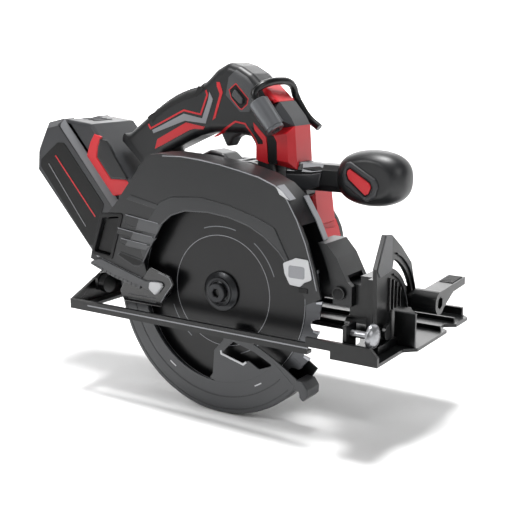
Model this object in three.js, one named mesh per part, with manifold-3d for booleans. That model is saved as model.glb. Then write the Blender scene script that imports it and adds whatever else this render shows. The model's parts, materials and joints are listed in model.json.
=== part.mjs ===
// Cordless circular saw: a sidewinder with a 184 mm blade on its right side.
// Millimetres. +X is the cutting direction, +Y the operator's left (the motor side), +Z is up.
// Inside the saw group Y is measured from the blade's middle plane and Z from the sole of the shoe,
// with X = 0 under the arbor. The outer group moves the origin sideways onto the flat of the sole.
import * as THREE from "three";
import { mergeVertices } from "three/addons/utils/BufferGeometryUtils.js";
import Module from "manifold-3d";

const wasm = await Module();
wasm.setup();

// ---- driving dimensions ----
const BLADE_RADIUS = 92.075; // a 7 1/4 inch blade
const CUTTING_DEPTH = 63.5; // 2 1/2 inches, the setting the saw is drawn at
const ARBOR_Z = BLADE_RADIUS - CUTTING_DEPTH;
const BLADE_OFFSET_Y = -70; // the blade plane in the part's frame
const BLADE_TEETH = 24;
const PLATE_THICKNESS = 1.2;
const GEAR_MODULE = 1.2;
const GEAR_TEETH = 36;
const PINION_TEETH = 12;
const MOTOR_X = 10;
const MOTOR_Z = ARBOR_Z + Math.sqrt(((GEAR_MODULE * (GEAR_TEETH + PINION_TEETH)) / 2) ** 2 - MOTOR_X ** 2);
const MOTOR_RADIUS = 40;
const LOWER_GUARD_RADIUS = 99.8;
const GUARD_CAVITY_RADIUS = 101.2;
const GUARD_NEAR_Y = -12.5; // outer face of the upper guard on the blade side
const GUARD_FAR_Y = 16;
const GEARBOX_FRONT_Y = 16.6;
const MOTOR_FRONT_Y = 45.3;
const MOTOR_REAR_Y = 106;
const HANDLE_Y = 52; // the handle's parting plane
const HANDLE_HALF = 17;
const BATTERY_HALF = 35;
const BATTERY_NECK_HALF = 30; // the narrower part that slides onto the handle
const BATTERY_TILT = new THREE.Vector2(0.669, -0.743); // the pack slides off along minus this, in X and Z
const DEPTH_X = 107; // the depth setting turns about this axis, along Y
const DEPTH_Z = 42;
const DEPTH_ARC_RADIUS = 178;
const BEVEL_Y = 4; // the bevel setting turns about this axis, along X
const BEVEL_Z = 17;
const BEVEL_SLOT_RADIUS = 50;
const SOLE_THICKNESS = 2.6;

// ---- finishes ----
const finish = (color, roughness, metalness) => new THREE.MeshStandardMaterial({ color, roughness,
    metalness });
const GUARD_METAL = finish(0x4b4c4e, 0.42, 0.75);
const SHOE_METAL = finish(0x3f4042, 0.45, 0.7);
const BRIGHT_STEEL = finish(0xb9bbbd, 0.3, 1);
const BLACK_STEEL = finish(0x232425, 0.35, 0.6);
const BLADE_PAINT = finish(0x1b1c1e, 0.3, 0.3);
const CHARCOAL = finish(0x3a3b3d, 0.55, 0);
const BLACK_PLASTIC = finish(0x1c1c1d, 0.5, 0);
const RUBBER = finish(0x202021, 0.8, 0);
const RED = finish(0xd9282f, 0.4, 0);
const SILVER_PAINT = finish(0xa9abad, 0.4, 0.4);
const COPPER = finish(0xb8713c, 0.35, 0.9);
const BOARD_GREEN = finish(0x1f5a36, 0.5, 0);
const CELL_WRAP = finish(0x2f7fb0, 0.4, 0);

// ---- geometry helpers ----
const vectors = (points) => points.map(([a, b]) => new THREE.Vector2(a, b));
const outline = (points, ...holes) => {
  const shape = new THREE.Shape(vectors(points));
  shape.holes = holes.map((hole) => new THREE.Path(vectors(hole)));
  return shape;
};
const arcPoints = (x, z, radius, from, to, steps) =>
  Array.from({ length: steps + 1 }, (_, i) => {
    const angle = THREE.MathUtils.degToRad(from + ((to - from) * i) / steps);
    return [x + radius * Math.cos(angle), z + radius * Math.sin(angle)];
  });
const ringSector = (x, z, inner, outer, from, to, steps) => [
  ...arcPoints(x, z, outer, from, to, steps),
  ...arcPoints(x, z, inner, to, from, steps),
];

const AXES = {
  X: [new THREE.Vector3(0, 1, 0), new THREE.Vector3(0, 0, 1), new THREE.Vector3(1, 0, 0)],
  Y: [new THREE.Vector3(1, 0, 0), new THREE.Vector3(0, 0, 1), new THREE.Vector3(0, -1, 0)],
  Z: [new THREE.Vector3(1, 0, 0), new THREE.Vector3(0, 1, 0), new THREE.Vector3(0, 0, 1)],
};

// An outline drawn across an axis and carried along it from one value to another, with chamfered rims.
function prism(axis, points, from, to, chamfer = 0) {
  const shape = points instanceof THREE.Shape ? points : outline(points);
  const geometry = new THREE.ExtrudeGeometry(shape, {
    depth: to - from - 2 * chamfer,
    bevelEnabled: chamfer > 0,
    bevelThickness: chamfer,
    bevelSize: chamfer,
    bevelOffset: -chamfer,
    bevelSegments: 1,
    curveSegments: 12,
  });
  geometry.translate(0, 0, chamfer);
  geometry.applyMatrix4(new THREE.Matrix4().makeBasis(...AXES[axis]));
  const along = { X: [from, 0, 0], Y: [0, to, 0], Z: [0, 0, from] }[axis];
  return geometry.translate(...along);
}

const box = (x0, x1, y0, y1, z0, z1) =>
  new THREE.BoxGeometry(x1 - x0, y1 - y0, z1 - z0).translate((x0 + x1) / 2, (y0 + y1) / 2, (z0 + z1) / 2);
const rodY = (radius, y0, y1, x, z, sides = 24) =>
  new THREE.CylinderGeometry(radius, radius, y1 - y0, sides).translate(x, (y0 + y1) / 2, z);
const rodX = (radius, x0, x1, y, z, sides = 20) =>
  new THREE.CylinderGeometry(radius, radius, x1 - x0,
      sides).rotateZ(-Math.PI / 2).translate((x0 + x1) / 2, y, z);
const turnedY = (profile, x, z, sides = 32) => new THREE.LatheGeometry(vectors(profile),
    sides).translate(x, 0, z);
const tubeY = (inner, outer, y0, y1, x, z, sides = 24) =>
  turnedY([[inner, y0], [outer, y0], [outer, y1], [inner, y1], [inner, y0]], x, z, sides);

function tube(points, radius, steps, sides = 8) {
  const path = new THREE.CatmullRomCurve3(points.map((p) => new THREE.Vector3(...p)));
  const section = new THREE.Shape(vectors(arcPoints(0, 0, radius, 0, 360 - 360 / sides, sides - 1)));
  return new THREE.ExtrudeGeometry(section, { steps, extrudePath: path, bevelEnabled: false });
}

// ---- booleans ----
function solidOf(geometry) {
  const bare = geometry.clone();
  bare.deleteAttribute("normal");
  bare.deleteAttribute("uv");
  const merged = mergeVertices(bare, 1e-4);
  return new wasm.Manifold(
    new wasm.Mesh({
      numProp: 3,
      vertProperties: merged.attributes.position.array,
      triVerts: new Uint32Array(merged.index.array),
    }),
  );
}

function geometryOf(solid) {
  const mesh = solid.getMesh();
  return new THREE.BufferGeometry()
    .setAttribute("position", new THREE.BufferAttribute(mesh.vertProperties, 3))
    .setIndex(new THREE.BufferAttribute(mesh.triVerts, 1));
}

const join = (first, ...others) => geometryOf(others.reduce((sum, g) => sum.add(solidOf(g)),
    solidOf(first)));
const cut = (first, ...others) => geometryOf(others.reduce((rest, g) => rest.subtract(solidOf(g)),
    solidOf(first)));
const common = (first, second) => geometryOf(solidOf(first).intersect(solidOf(second)));

// ---- scene ----
const root = new THREE.Group();
const saw = new THREE.Group();
saw.position.y = BLADE_OFFSET_Y;
root.add(saw);

function add(name, geometry, material, parent = saw) {
  const mesh = new THREE.Mesh(geometry, material);
  mesh.name = name;
  parent.add(mesh);
  return mesh;
}

// ---- blade and drive ----
function bladeOutline() {
  const pitch = 360 / BLADE_TEETH;
  const tooth = [[0, 0], [-0.9, 2.6], [-6.8, 3.2], [-8.4, 5.4], [-6.6, 7.4], [-2.2, 8.4], [-0.9, 10.6],
      [-1.6, 12.6]];
  return Array.from({ length: BLADE_TEETH }, (_, i) =>
    tooth.map(([rise, turn]) => {
      const angle = THREE.MathUtils.degToRad(i * pitch + turn);
      return [(BLADE_RADIUS + rise) * Math.cos(angle), ARBOR_Z + (BLADE_RADIUS + rise) * Math.sin(angle)];
    }),
  ).flat();
}

function addBlade() {
  const bore = arcPoints(0, ARBOR_Z, 7.95, 0, 345, 23);
  const plate = prism("Y", outline(bladeOutline(), bore), -PLATE_THICKNESS / 2, PLATE_THICKNESS / 2);
  add("saw_blade", plate, BLADE_PAINT);
  const outer = [[4.4, -0.9], [16.2, -0.9], [16.2, -3], [11.5, -5.4], [9.4, -5.4], [9.4, -4.6],
      [4.4, -4.6], [4.4, -0.9]];
  add("blade_flange_outer", turnedY(outer.reverse(), 0, ARBOR_Z), BRIGHT_STEEL);
  add("blade_flange_inner", tubeY(7.8, 18, 0.9, 5.2, 0, ARBOR_Z), BRIGHT_STEEL);
  const socket = prism("Y", arcPoints(0, ARBOR_Z, 3.5, 0, 300, 5), -11, -7);
  const bolt = join(rodY(8, -9.6, -4.9, 0, ARBOR_Z), rodY(4, -5, 14, 0, ARBOR_Z, 16));
  add("blade_bolt", cut(bolt, socket), BLACK_STEEL);
}

function gearOutline(teeth, x, z, phase) {
  const pitch = (GEAR_MODULE * teeth) / 2;
  const step = 360 / teeth;
  const rises = [[-1.25, -0.3], [-1.25, 0.3], [0.1, 0.36], [0.8, 0.43], [0.8, 0.57], [0.1, 0.64]];
  return Array.from({ length: teeth }, (_, i) =>
    rises.map(([rise, part]) => {
      const angle = THREE.MathUtils.degToRad(phase + (i + part - 0.5) * step);
      const radius = pitch + rise * GEAR_MODULE;
      return [x + radius * Math.cos(angle), z + radius * Math.sin(angle)];
    }),
  ).flat();
}

function addDrive() {
  const toMotor = THREE.MathUtils.radToDeg(Math.atan2(MOTOR_Z - ARBOR_Z, MOTOR_X));
  const spindle = cut(rodY(7.5, -0.5, 41, 0, ARBOR_Z), rodY(4.3, -1, 14.5, 0, ARBOR_Z, 16));
  add("spindle", spindle, BRIGHT_STEEL);
  const bore = arcPoints(0, ARBOR_Z, 7.8, 0, 345, 23);
  const gear = outline(gearOutline(GEAR_TEETH, 0, ARBOR_Z, toMotor), bore);
  add("drive_gear", prism("Y", gear, 24, 34), BRIGHT_STEEL);
  const pinionPhase = toMotor + 180 + 180 / PINION_TEETH;
  const pinion = prism("Y", gearOutline(PINION_TEETH, MOTOR_X, MOTOR_Z, pinionPhase), 24, 34);
  add("rotor", join(rodY(4, 23, MOTOR_REAR_Y + 4.4, MOTOR_X, MOTOR_Z, 12), pinion,
      rodY(20, 54, 89, MOTOR_X, MOTOR_Z, 20)), BRIGHT_STEEL);
  const blades = Array.from({ length: 11 }, (_, i) =>
    box(10, 31, -0.8, 0.8, -1, 7)
      .rotateZ((i * 2 * Math.PI) / 11)
      .rotateX(Math.PI / 2)
      .translate(MOTOR_X, 100, MOTOR_Z),
  );
  const fan = join(tubeY(4.3, 32, 100, 102, MOTOR_X, MOTOR_Z),
      tubeY(4.3, 10.5, 93, 101, MOTOR_X, MOTOR_Z), ...blades);
  add("cooling_fan", fan, BLACK_PLASTIC);
  add("stator", tubeY(21, 36, 52, 90, MOTOR_X, MOTOR_Z), COPPER);
  add("spindle_bearing_front", tubeY(7.8, 15, 9, 16.2, 0, ARBOR_Z), BRIGHT_STEEL);
  add("spindle_bearing_rear", tubeY(7.8, 13, 36, 41, 0, ARBOR_Z), BRIGHT_STEEL);
  add("rotor_bearing_front", tubeY(4.3, 9, 39.4, 44.4, MOTOR_X, MOTOR_Z), BRIGHT_STEEL);
  add("rotor_bearing_rear", tubeY(4.3, 9, MOTOR_REAR_Y + 0.6, MOTOR_REAR_Y + 4.6, MOTOR_X, MOTOR_Z),
      BRIGHT_STEEL);
}

// ---- guards ----
const GUARD_REAR = [[-60, 23], [-130, 42], [-128, 50], [-118, 75], [-100, 92], [-83, 113], [-70, 129],
    [-62, 135.5]];
const GUARD_TOP = [[-50, 136.5], [-18, 134.8], [12, 131.5], [30, 128], [43, 124.5], [57, 118.5],
    [68, 109.5]];
const GUARD_FRONT = [[79, 92], [85, 79], [92, 59], [97, 38]];

function addUpperGuard() {
  const skirt = [[60, 20], [26, 5], [-26, 5]];
  const whole = prism("Y", [...GUARD_REAR, ...GUARD_TOP, ...GUARD_FRONT, ...skirt].reverse(),
      GUARD_NEAR_Y, GUARD_FAR_Y);
  const sweep = rodY(GUARD_CAVITY_RADIUS, -10.5, 13, 0, ARBOR_Z, 64);
  const chute = prism("Y", [[-50, 10], [-127.5, 36], [-125.5, 51], [-115.5, 74], [-98, 90], [-81, 111],
      [-68, 126.5],
    [-50, 133.5], [0, 100], [0, 20]].reverse(), -10.5, 13);
  const window = prism("Y", [[-71, 46], [-61, 63], [-52, 79], [-41, 88], [-27, 93], [-5, 94], [15, 92],
      [34, 87], [48, 80],
    [61, 70], [72, 57], [79, 46], [84, 36], [84, -20], [-68, -20], [-68, 38]].reverse(), GUARD_NEAR_Y - 1,
      -10);
  const outlet = prism("Y", [[-114, 79], [-95, 82], [-107, 47], [-125, 49]], GUARD_NEAR_Y - 1, -10);
  const boss = rodY(22.3, 12, 17, 0, ARBOR_Z, 48);
  const rivet = rodY(2, GUARD_NEAR_Y - 1, -10, -121, 46, 12);
  const clampHole = rodY(3.5, 12, 17, DEPTH_X - DEPTH_ARC_RADIUS, DEPTH_Z, 16);
  const shell = cut(whole, sweep, chute, window, outlet, boss, rivet, clampHole);
  const footSide = [[84, 78], [95, 78], [104, 68], [113, 51], [117, 48], [117, 33], [101.5, 33],
      [101.5, 40], [84, 60]].reverse();
  const footTop = [[84, 78], [95, 78], [104, 68], [110.9, 55], [107.8, 54], [101.5, 65.5], [93.5, 74.5],
      [84, 74.5]].reverse();
  const footParts = join(
    prism("Y", footSide, -2, 3),
    prism("Y", footSide, 25, 30),
    prism("Y", footTop, 2.5, 25.5),
  );
  const foot = cut(footParts, rodY(3.4, -3, 31, DEPTH_X, DEPTH_Z, 16), sweep);
  const web = prism("Y", [[70, 90], [84, 78], [96, 62], [90, 60], [70, 66]].reverse(), 13.2, GUARD_FAR_Y);
  add("upper_guard", join(shell, foot, web), GUARD_METAL);
}

// The swinging guard's outer wall in front of the blade, with a window to the cut.
const LOWER_PANEL = [[9, 2], [24, 2], [34.5, -7], [51, -14.5], [65, -22.5], [75.5, -29.5], [72, -38],
    [50, -52],
  [0, -45.2], [-7, -43], [-3.5, -38.5], [-2, -19], [7, -9]];
const LOWER_EYE = [[16.6, -8.8], [5, -20.3], [26, -25.5], [31, -22], [41, -27.3], [54, -22], [36.5, -14]];

function addLowerGuard() {
  const [front, rear] = [-32, -192];
  const nearFront = -41;
  const flange = prism("Y", ringSector(0, ARBOR_Z, 73.3, 96, rear, nearFront, 20), -9.5, -8);
  const rim = prism("Y", ringSector(0, ARBOR_Z, 95.4, LOWER_GUARD_RADIUS, rear, nearFront, 24), -9.5, 9.5,
      1.4);
  const rimTrim = prism("Y", ringSector(0, ARBOR_Z, 90, 98, rear - 2, nearFront + 2, 24), -8, 8);
  const wall = prism("Y", ringSector(0, ARBOR_Z, 22.35, LOWER_GUARD_RADIUS - 1, rear, front, 24), 8, 9.5);
  const hub = tubeY(22.35, 26, 8, 12.6, 0, ARBOR_Z, 48);
  const panel = prism("Y", outline(LOWER_PANEL.slice().reverse(), LOWER_EYE), -9.5, -8);
  const lip = prism("Y", [[74, -29.5], [81, -30.5], [85, -36], [84.8, -42], [80.5, -46.5], [77.7, -43],
      [77, -38],
    [72, -39]].reverse(), -9.5, 9.5);
  add("lower_guard", join(cut(rim, rimTrim), flange, panel, wall, hub, lip), GUARD_METAL);
  const arm = prism("Y", [[-92, 20], [-92, 34], [-66, 32], [-48, 32], [-47, 22], [-54, 14],
      [-66, 18]].reverse(), -7.7, -5.6);
  const tab = prism("Y", [[-63, 24], [-62, 31], [-50, 31], [-48, 24], [-54, 17]].reverse(), -16, -5.6);
  add("lower_guard_lever", join(arm, tab), SILVER_PAINT);
  const coil = Array.from({ length: 25 }, (_, i) => {
    const turn = (i / 24) * 1.5 * 2 * Math.PI;
    return [27.8 * Math.cos(turn), 10.5 + (1.4 * i) / 24, ARBOR_Z + 27.8 * Math.sin(turn)];
  });
  add("lower_guard_spring", tube(coil, 0.55, 30, 6), BRIGHT_STEEL);
}

// ---- gearbox and motor ----
function addGearbox() {
  const body = join(
    rodY(25.3, GEARBOX_FRONT_Y, 44.8, 0, ARBOR_Z, 32),
    rodY(MOTOR_RADIUS, GEARBOX_FRONT_Y, 44.8, MOTOR_X, MOTOR_Z, 36),
    rodY(22, 6, 17, 0, ARBOR_Z, 36),
    prism("Y", [[-42, 60], [-42, 112], [-10, 122], [36, 117], [46, 92], [49, 60]].reverse(),
        GEARBOX_FRONT_Y, 34.6),
  );
  const cuts = [
    rodY(15.3, 8.7, 16.5, 0, ARBOR_Z, 32),
    rodY(8.2, 5, 45, 0, ARBOR_Z, 24),
    rodY(23.4, 22, 35.5, 0, ARBOR_Z, 32),
    rodY(9.4, 22, 35.5, MOTOR_X, MOTOR_Z, 24),
    rodY(13.3, 35, 45, 0, ARBOR_Z, 32),
    rodY(5, 22, 46, MOTOR_X, MOTOR_Z, 20),
    rodY(9.3, 39.1, 46, MOTOR_X, MOTOR_Z, 24),
    rodX(4.3, 20, 60, 30, 44),
  ];
  add("gearbox_housing", cut(body, ...cuts), GUARD_METAL);
  add("spindle_lock_button", join(rodX(4, 25.5, 52, 30, 44), rodX(6, 52, 55, 30, 44)), BLACK_PLASTIC);
}

function addMotor() {
  const upper = prism("Y", [[-56, 84], [-58, 118], [-46, 124], [-22, 124], [32, 117], [43, 105], [47, 76],
      [20, 60],
    [-20, 60]].reverse(), 70, 102, 2);
  const shell = join(upper, rodY(MOTOR_RADIUS, MOTOR_FRONT_Y, MOTOR_REAR_Y, MOTOR_X, MOTOR_Z, 36));
  const inside = rodY(37, MOTOR_FRONT_Y - 1, MOTOR_REAR_Y + 1, MOTOR_X, MOTOR_Z, 36);
  const attic = prism("Y", [[-53, 87], [-55, 116], [-45, 121], [-22, 121], [30, 114.5], [34, 90], [0, 80],
      [-20, 80]].reverse(),
    73, 99);
  const slots = Array.from({ length: 5 }, (_, i) => box(-46 + i * 13, -39 + i * 13, 76, 96, 108, 130));
  add("motor_housing", cut(shell, inside, attic, ...slots), RED);
  const cap = cut(
    turnedY([[0, 0.3], [40, 0.3], [40, 5], [35, 9], [0, 9]], MOTOR_X, MOTOR_Z, 36).translate(0,
        MOTOR_REAR_Y, 0),
    rodY(9.3, MOTOR_REAR_Y, MOTOR_REAR_Y + 5, MOTOR_X, MOTOR_Z),
    ...Array.from({ length: 8 }, (_, i) => {
      const turn = (i * Math.PI) / 4;
      return box(14, 32, -1, 10, -2.5, 2.5).rotateY(turn).translate(MOTOR_X, MOTOR_REAR_Y, MOTOR_Z);
    }),
  );
  add("motor_end_cap", cap, CHARCOAL);
}

// ---- handle ----
const HANDLE_OUTLINE = [[-126, 146], [-115, 154], [-98, 166], [-80, 176], [-63, 183], [-51, 186],
    [-40, 194], [-31, 202],
  [-19, 208], [-8, 205], [3, 199], [11, 192], [17, 183], [28, 180], [42, 164], [44, 133], [46, 112],
    [44, 98.4],
  [-70, 98.4], [-88, 91], [-137, 145]];
const HANDLE_OPENING = [[-86, 131], [-50, 147], [-34, 151], [0, 151], [6, 143], [8, 126], [0, 122.4],
    [-66, 122.4],
  [-84, 126]];

function addHandle() {
  const trigger = box(-29, 5, HANDLE_Y - 8.5, HANDLE_Y + 8.5, 128, 167);
  const rooms = [
    box(-42, -1, 41, 63, 166, 192),
    box(-60, 30, 41, 63, 101.5, 119),
    prism("Y", [[-100, 106], [-90, 118], [-113, 142], [-124, 134]].reverse(), 41, 63),
    trigger,
    box(-13.3, -1.7, 30, 42, 174.7, 187.3),
    prism("Y", [[26, 124], [60, 124], [60, 165], [42, 161.5], [25, 157], [24, 150]].reverse(), 30, 75),
  ];
  const whole = outline(HANDLE_OUTLINE.slice().reverse(), HANDLE_OPENING);
  const body = cut(prism("Y", whole, HANDLE_Y - HANDLE_HALF, HANDLE_Y + HANDLE_HALF, 3), ...rooms);
  const saddle = [[-104, 158], [-97, 166.5], [-80, 176.5], [-63, 183.5], [-51, 186.5], [-44, 191],
      [-41, 188], [-50, 183],
    [-62, 180], [-79, 173], [-96, 163], [-101, 156]].reverse();
  const seat = prism("Y", [[-106.5, 158], [-98, 169], [-80, 179], [-63, 186], [-51, 190], [-43, 196],
      [-38.5, 189],
    [-49.5, 182.7], [-61.8, 179.7], [-78.8, 172.7], [-95.7, 162.7], [-101.3, 155.4]].reverse(), 30, 75);
  const half = (name, from, to) => add(name, cut(common(body, box(-150, 60, from, to, 80, 220)), seat),
      CHARCOAL);
  half("handle_shell_right", 30, HANDLE_Y - 0.15);
  half("handle_shell_left", HANDLE_Y + 0.15, 80);
  const rubber = prism("Y", saddle, HANDLE_Y - HANDLE_HALF, HANDLE_Y + HANDLE_HALF, 1);
  add("handle_grip_cover", rubber, RUBBER);
  const cover = prism("Y", [[26.4, 124.4], [44.6, 124.4], [44, 133], [42, 161], [25.6, 156.7],
      [24.5, 150]].reverse(),
    HANDLE_Y - HANDLE_HALF, HANDLE_Y + HANDLE_HALF, 2);
  add("column_cover", cover, RED);
  add("trigger", prism("Y", [[-25, 138], [-19, 141], [-12, 146], [-2, 149], [3, 152], [3, 160],
      [-22, 160], [-27, 150]].reverse(),
    HANDLE_Y - 7.6, HANDLE_Y + 7.6, 1), CHARCOAL);
  add("lock_off_button", box(-13, -2, 32, 40.6, 175, 187), CHARCOAL);
  add("switch_body", box(-41, -16, 43, 61, 168, 190), BLACK_PLASTIC);
  add("controller_board", box(-58, 28, 42, 44.5, 103, 118), BOARD_GREEN);
  add("battery_terminals", prism("Y", [[-101, 109], [-93, 118], [-113, 139], [-121, 132]].reverse(), 42,
      62), BLACK_PLASTIC);
}

function addFrontHandle() {
  const arm = prism("X", [[44, 109], [42, 114], [42, 126], [45, 130], [58, 130], [61, 126], [61, 114],
      [58, 109]], 47.4, 84);
  const knob = new THREE.SphereGeometry(1, 20, 12).scale(29, 21, 22.5).translate(107, 52, 121.5);
  const recess = prism("Y", [[93, 130], [97, 133], [113, 123], [116, 114], [111, 109],
      [96, 121]].reverse(), 25, 35);
  const pads = prism("X", arcPoints(52, 121.5, 24, 0, 330, 11), 60, 134);
  add("front_handle", cut(join(arm, common(knob, pads)), recess), RUBBER);
}

function addRafterHook() {
  const top = new THREE.Vector3(15.5, 27, 178);
  const bottom = new THREE.Vector3(33, 27, 156);
  const axis = bottom.clone().sub(top);
  const place = (geometry) =>
    geometry.applyQuaternion(new THREE.Quaternion().setFromUnitVectors(new THREE.Vector3(0, 1, 0),
        axis.clone().normalize()))
      .translate(...top.clone().add(bottom).multiplyScalar(0.5).toArray());
  const length = axis.length();
  const barrel = place(tubeY(3.6, 7, -length / 2, length / 2, 0, 0, 24));
  const tongue = prism("Y", [[20, 182], [35, 163], [30, 159], [15, 178]].reverse(), 31.6, 34.7);
  add("hook_barrel", cut(join(barrel, tongue), place(rodY(3.6, -length / 2 - 1, length / 2 + 1, 0, 0,
      24))), BRIGHT_STEEL);
  const end = (t) => top.clone().addScaledVector(axis, t).toArray();
  const route = [end(0.86), end(0.4), end(0), [12.5, 27.5, 184], [15, 31, 189], [18.5, 40, 192.5],
      [21, 52, 193.5],
    [22.5, 63, 192], [22.5, 70, 188], [22, 74.5, 181], [26, 76, 173], [34, 76, 163], [44, 76, 155.5]];
  add("rafter_hook", tube(route, 3.1, 40, 8), BLACK_STEEL);
}

// ---- battery ----
const PACK_OUTLINE = [[-224, 109], [-222, 128], [-208, 153], [-190, 157], [-152, 153], [-143, 145],
    [-97, 91.6], [-99, 85],
  [-155, 33]];

function packPoint(along, across) {
  const t = BATTERY_TILT;
  return [along * t.x - across * t.y, along * t.y + across * t.x];
}

function addBattery() {
  const pack = prism("Y", PACK_OUTLINE.slice().reverse(), HANDLE_Y - BATTERY_HALF,
      HANDLE_Y + BATTERY_HALF, 5);
  const split = (low, high) =>
    prism("Y", [packPoint(-300, low), packPoint(-60, low), packPoint(-60, high), packPoint(-300, high)],
      HANDLE_Y - 60, HANDLE_Y + 60);
  const room = prism("Y", [packPoint(-236, -90.5), packPoint(-131, -90.5), packPoint(-131, -40),
      packPoint(-236, -40)],
    HANDLE_Y - 33, HANDLE_Y + 33);
  const latchRoom = prism("Y", [[-200, 144.5], [-200, 170], [-160, 170], [-160, 143]].reverse(),
      HANDLE_Y - 17, HANDLE_Y + 17);
  add("battery_case_lower", cut(common(pack, split(-200, -36.2)), room, latchRoom), CHARCOAL);
  const board = prism("Y", [packPoint(-222, -50), packPoint(-136, -50), packPoint(-136, -47.5),
      packPoint(-222, -47.5)],
    HANDLE_Y - 28, HANDLE_Y + 28);
  add("battery_board", board, BOARD_GREEN);
  const shoulders = prism("Y", [packPoint(-204, -24), packPoint(-80, -24), packPoint(-80, 10),
      packPoint(-204, 10)],
    HANDLE_Y - 60, HANDLE_Y - 26);
  const shouldersFar = shoulders.clone().translate(0, 86, 0);
  const neck = prism("Y", PACK_OUTLINE.slice().reverse(), HANDLE_Y - BATTERY_NECK_HALF,
      HANDLE_Y + BATTERY_NECK_HALF, 5);
  const band = cut(common(neck, split(-35.9, -14)), shoulders, shouldersFar);
  add("battery_case_upper", cut(band, latchRoom), RED);
  add("battery_latch_button", prism("Y", [[-186, 148.5], [-186, 156], [-162, 153.5],
      [-162, 147.2]].reverse(),
    HANDLE_Y - 16, HANDLE_Y + 16, 1), CHARCOAL);
  for (let pair = 0; pair < 5; pair += 1) {
    const [low, high] = [-80.5, -60.2].map((across) => packPoint(-224 + pair * 20.3, across));
    const cells = [low, high].map(([x, z]) => rodY(9.2, HANDLE_Y - 32, HANDLE_Y + 32, x, z, 14));
    const strip = prism("Y", [packPoint(-227 + pair * 20.3, -80.5), packPoint(-221 + pair * 20.3, -80.5),
      packPoint(-221 + pair * 20.3, -60.2), packPoint(-227 + pair * 20.3, -60.2)], HANDLE_Y - 32.6,
          HANDLE_Y - 31.8);
    add("battery_cell_pair_" + (pair + 1), join(...cells, strip), CELL_WRAP);
  }
}

// ---- shoe and its settings ----
function addShoe() {
  const plan = [[-140, -29], [152, -29], [152, 14], [160, 22], [160, 78], [152, 84], [152, 92], [160, 98],
      [160, 122],
    [154, 128], [-132, 128], [-140, 120]];
  const slot = [[-127, -22], [118, -22], [118, 10], [104, 42], [-127, 42]];
  const plate = prism("Z", outline(plan, slot), 0, SOLE_THICKNESS);
  const rail = box(-140, 95, -29, -26, 0.5, 8.4);
  const bridge = box(94, 118, -29, -26, 6, 13);
  const frontWall = prism("Y", [[114, 0.5], [152, 0.5], [152, 7], [146, 13], [114, 13]], -29, -26);
  const rear = prism("X", [[-29, 0.5], [-29, 8], [8, 24], [16, 27], [24, 22], [40, 12], [120, 12],
      [122, 0.5]], -140, -137);
  const farWall = box(-132, 154, 125, 128, 0.5, 9);
  const ribs = [[46, 134], [74, 156], [102, 156]].map(([y, end]) => box(-139, end, y, y + 2, 1, 6));
  const underBridge = box(95.5, 114.5, -30, -22, -1, 5.8);
  const pin = rodX(3.3, -142, -130, BEVEL_Y, BEVEL_Z);
  add("shoe", cut(join(plate, rail, bridge, frontWall, rear, farWall, ...ribs), underBridge, pin),
      SHOE_METAL);
}

function bevelPoint(radius, degrees) {
  const angle = THREE.MathUtils.degToRad(degrees);
  return [BEVEL_Y + radius * Math.cos(angle), BEVEL_Z + radius * Math.sin(angle)];
}

const STUD = bevelPoint(BEVEL_SLOT_RADIUS, 16);

function addBevelParts() {
  const shape = [[62, 2.9], [61.5, 36], [52, 59.5], [34, 74.5], [16, 86.5], [5, 88], [-8, 65], [-5.5, 30],
      [-5.5, 2.9]];
  const slot = ringSector(BEVEL_Y, BEVEL_Z, BEVEL_SLOT_RADIUS - 3.6, BEVEL_SLOT_RADIUS + 3.6, 11, 72, 14);
  const quadrant = cut(prism("X", outline(shape, slot), 136.4, 139.6),
      rodX(3.3, 130, 150, BEVEL_Y, BEVEL_Z));
  add("bevel_quadrant", quadrant, SHOE_METAL);
  const plate = prism("X", [[-6, 9], [14, 9], [58, 22], [60, 36], [50, 42], [26, 56], [-4, 56]], 131, 136);
  const block = box(121.5, 131.5, 3.5, 24.5, 30, 56);
  const boss = rodX(8, 112, 131.5, BEVEL_Y, BEVEL_Z);
  const stem = box(113, 131.5, 3.5, 11.5, 17, 34.5);
  const tongue = prism("Y", [[102, 34], [100, 42], [104, 49], [122, 49], [122, 34]], 3.5, 24.5);
  const holes = [
    rodX(3.3, 110, 140, BEVEL_Y, BEVEL_Z),
    rodY(3.4, 0, 30, DEPTH_X, DEPTH_Z, 16),
    rodX(3.4, 129, 140, STUD[0], STUD[1]),
  ];
  add("bevel_bracket", cut(join(plate, block, boss, stem, tongue), ...holes), BLACK_STEEL);
  add("bevel_pivot_front", join(rodX(3, 110, 142, BEVEL_Y, BEVEL_Z),
      rodX(6, 142, 144.5, BEVEL_Y, BEVEL_Z)), BLACK_STEEL);
  add("bevel_stud", join(rodX(3.1, 130.4, 154, STUD[0], STUD[1], 16),
      rodX(6, 128, 130.6, STUD[0], STUD[1], 6)), BRIGHT_STEEL);
  const hub = rodX(9, 144, 164, STUD[0], STUD[1], 24);
  const collar = rodX(6.5, 139.9, 144.2, STUD[0], STUD[1]);
  const paddleShape = [[-3, -6], [-3, 8.6], [24, 9.5], [50, 10.5], [50, 4.5], [26, 3.5], [8, -5]];
  const paddle = prism("X", paddleShape.map(([y, z]) => [y + STUD[0], z + STUD[1]]), 150, 164);
  const bore = rodX(3.4, 139, 154.4, STUD[0], STUD[1], 16);
  const lever = cut(join(hub, collar, paddle), bore, rodX(5, 161, 165, STUD[0], STUD[1], 6));
  add("bevel_lever", lever, BLACK_STEEL);
}

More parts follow.
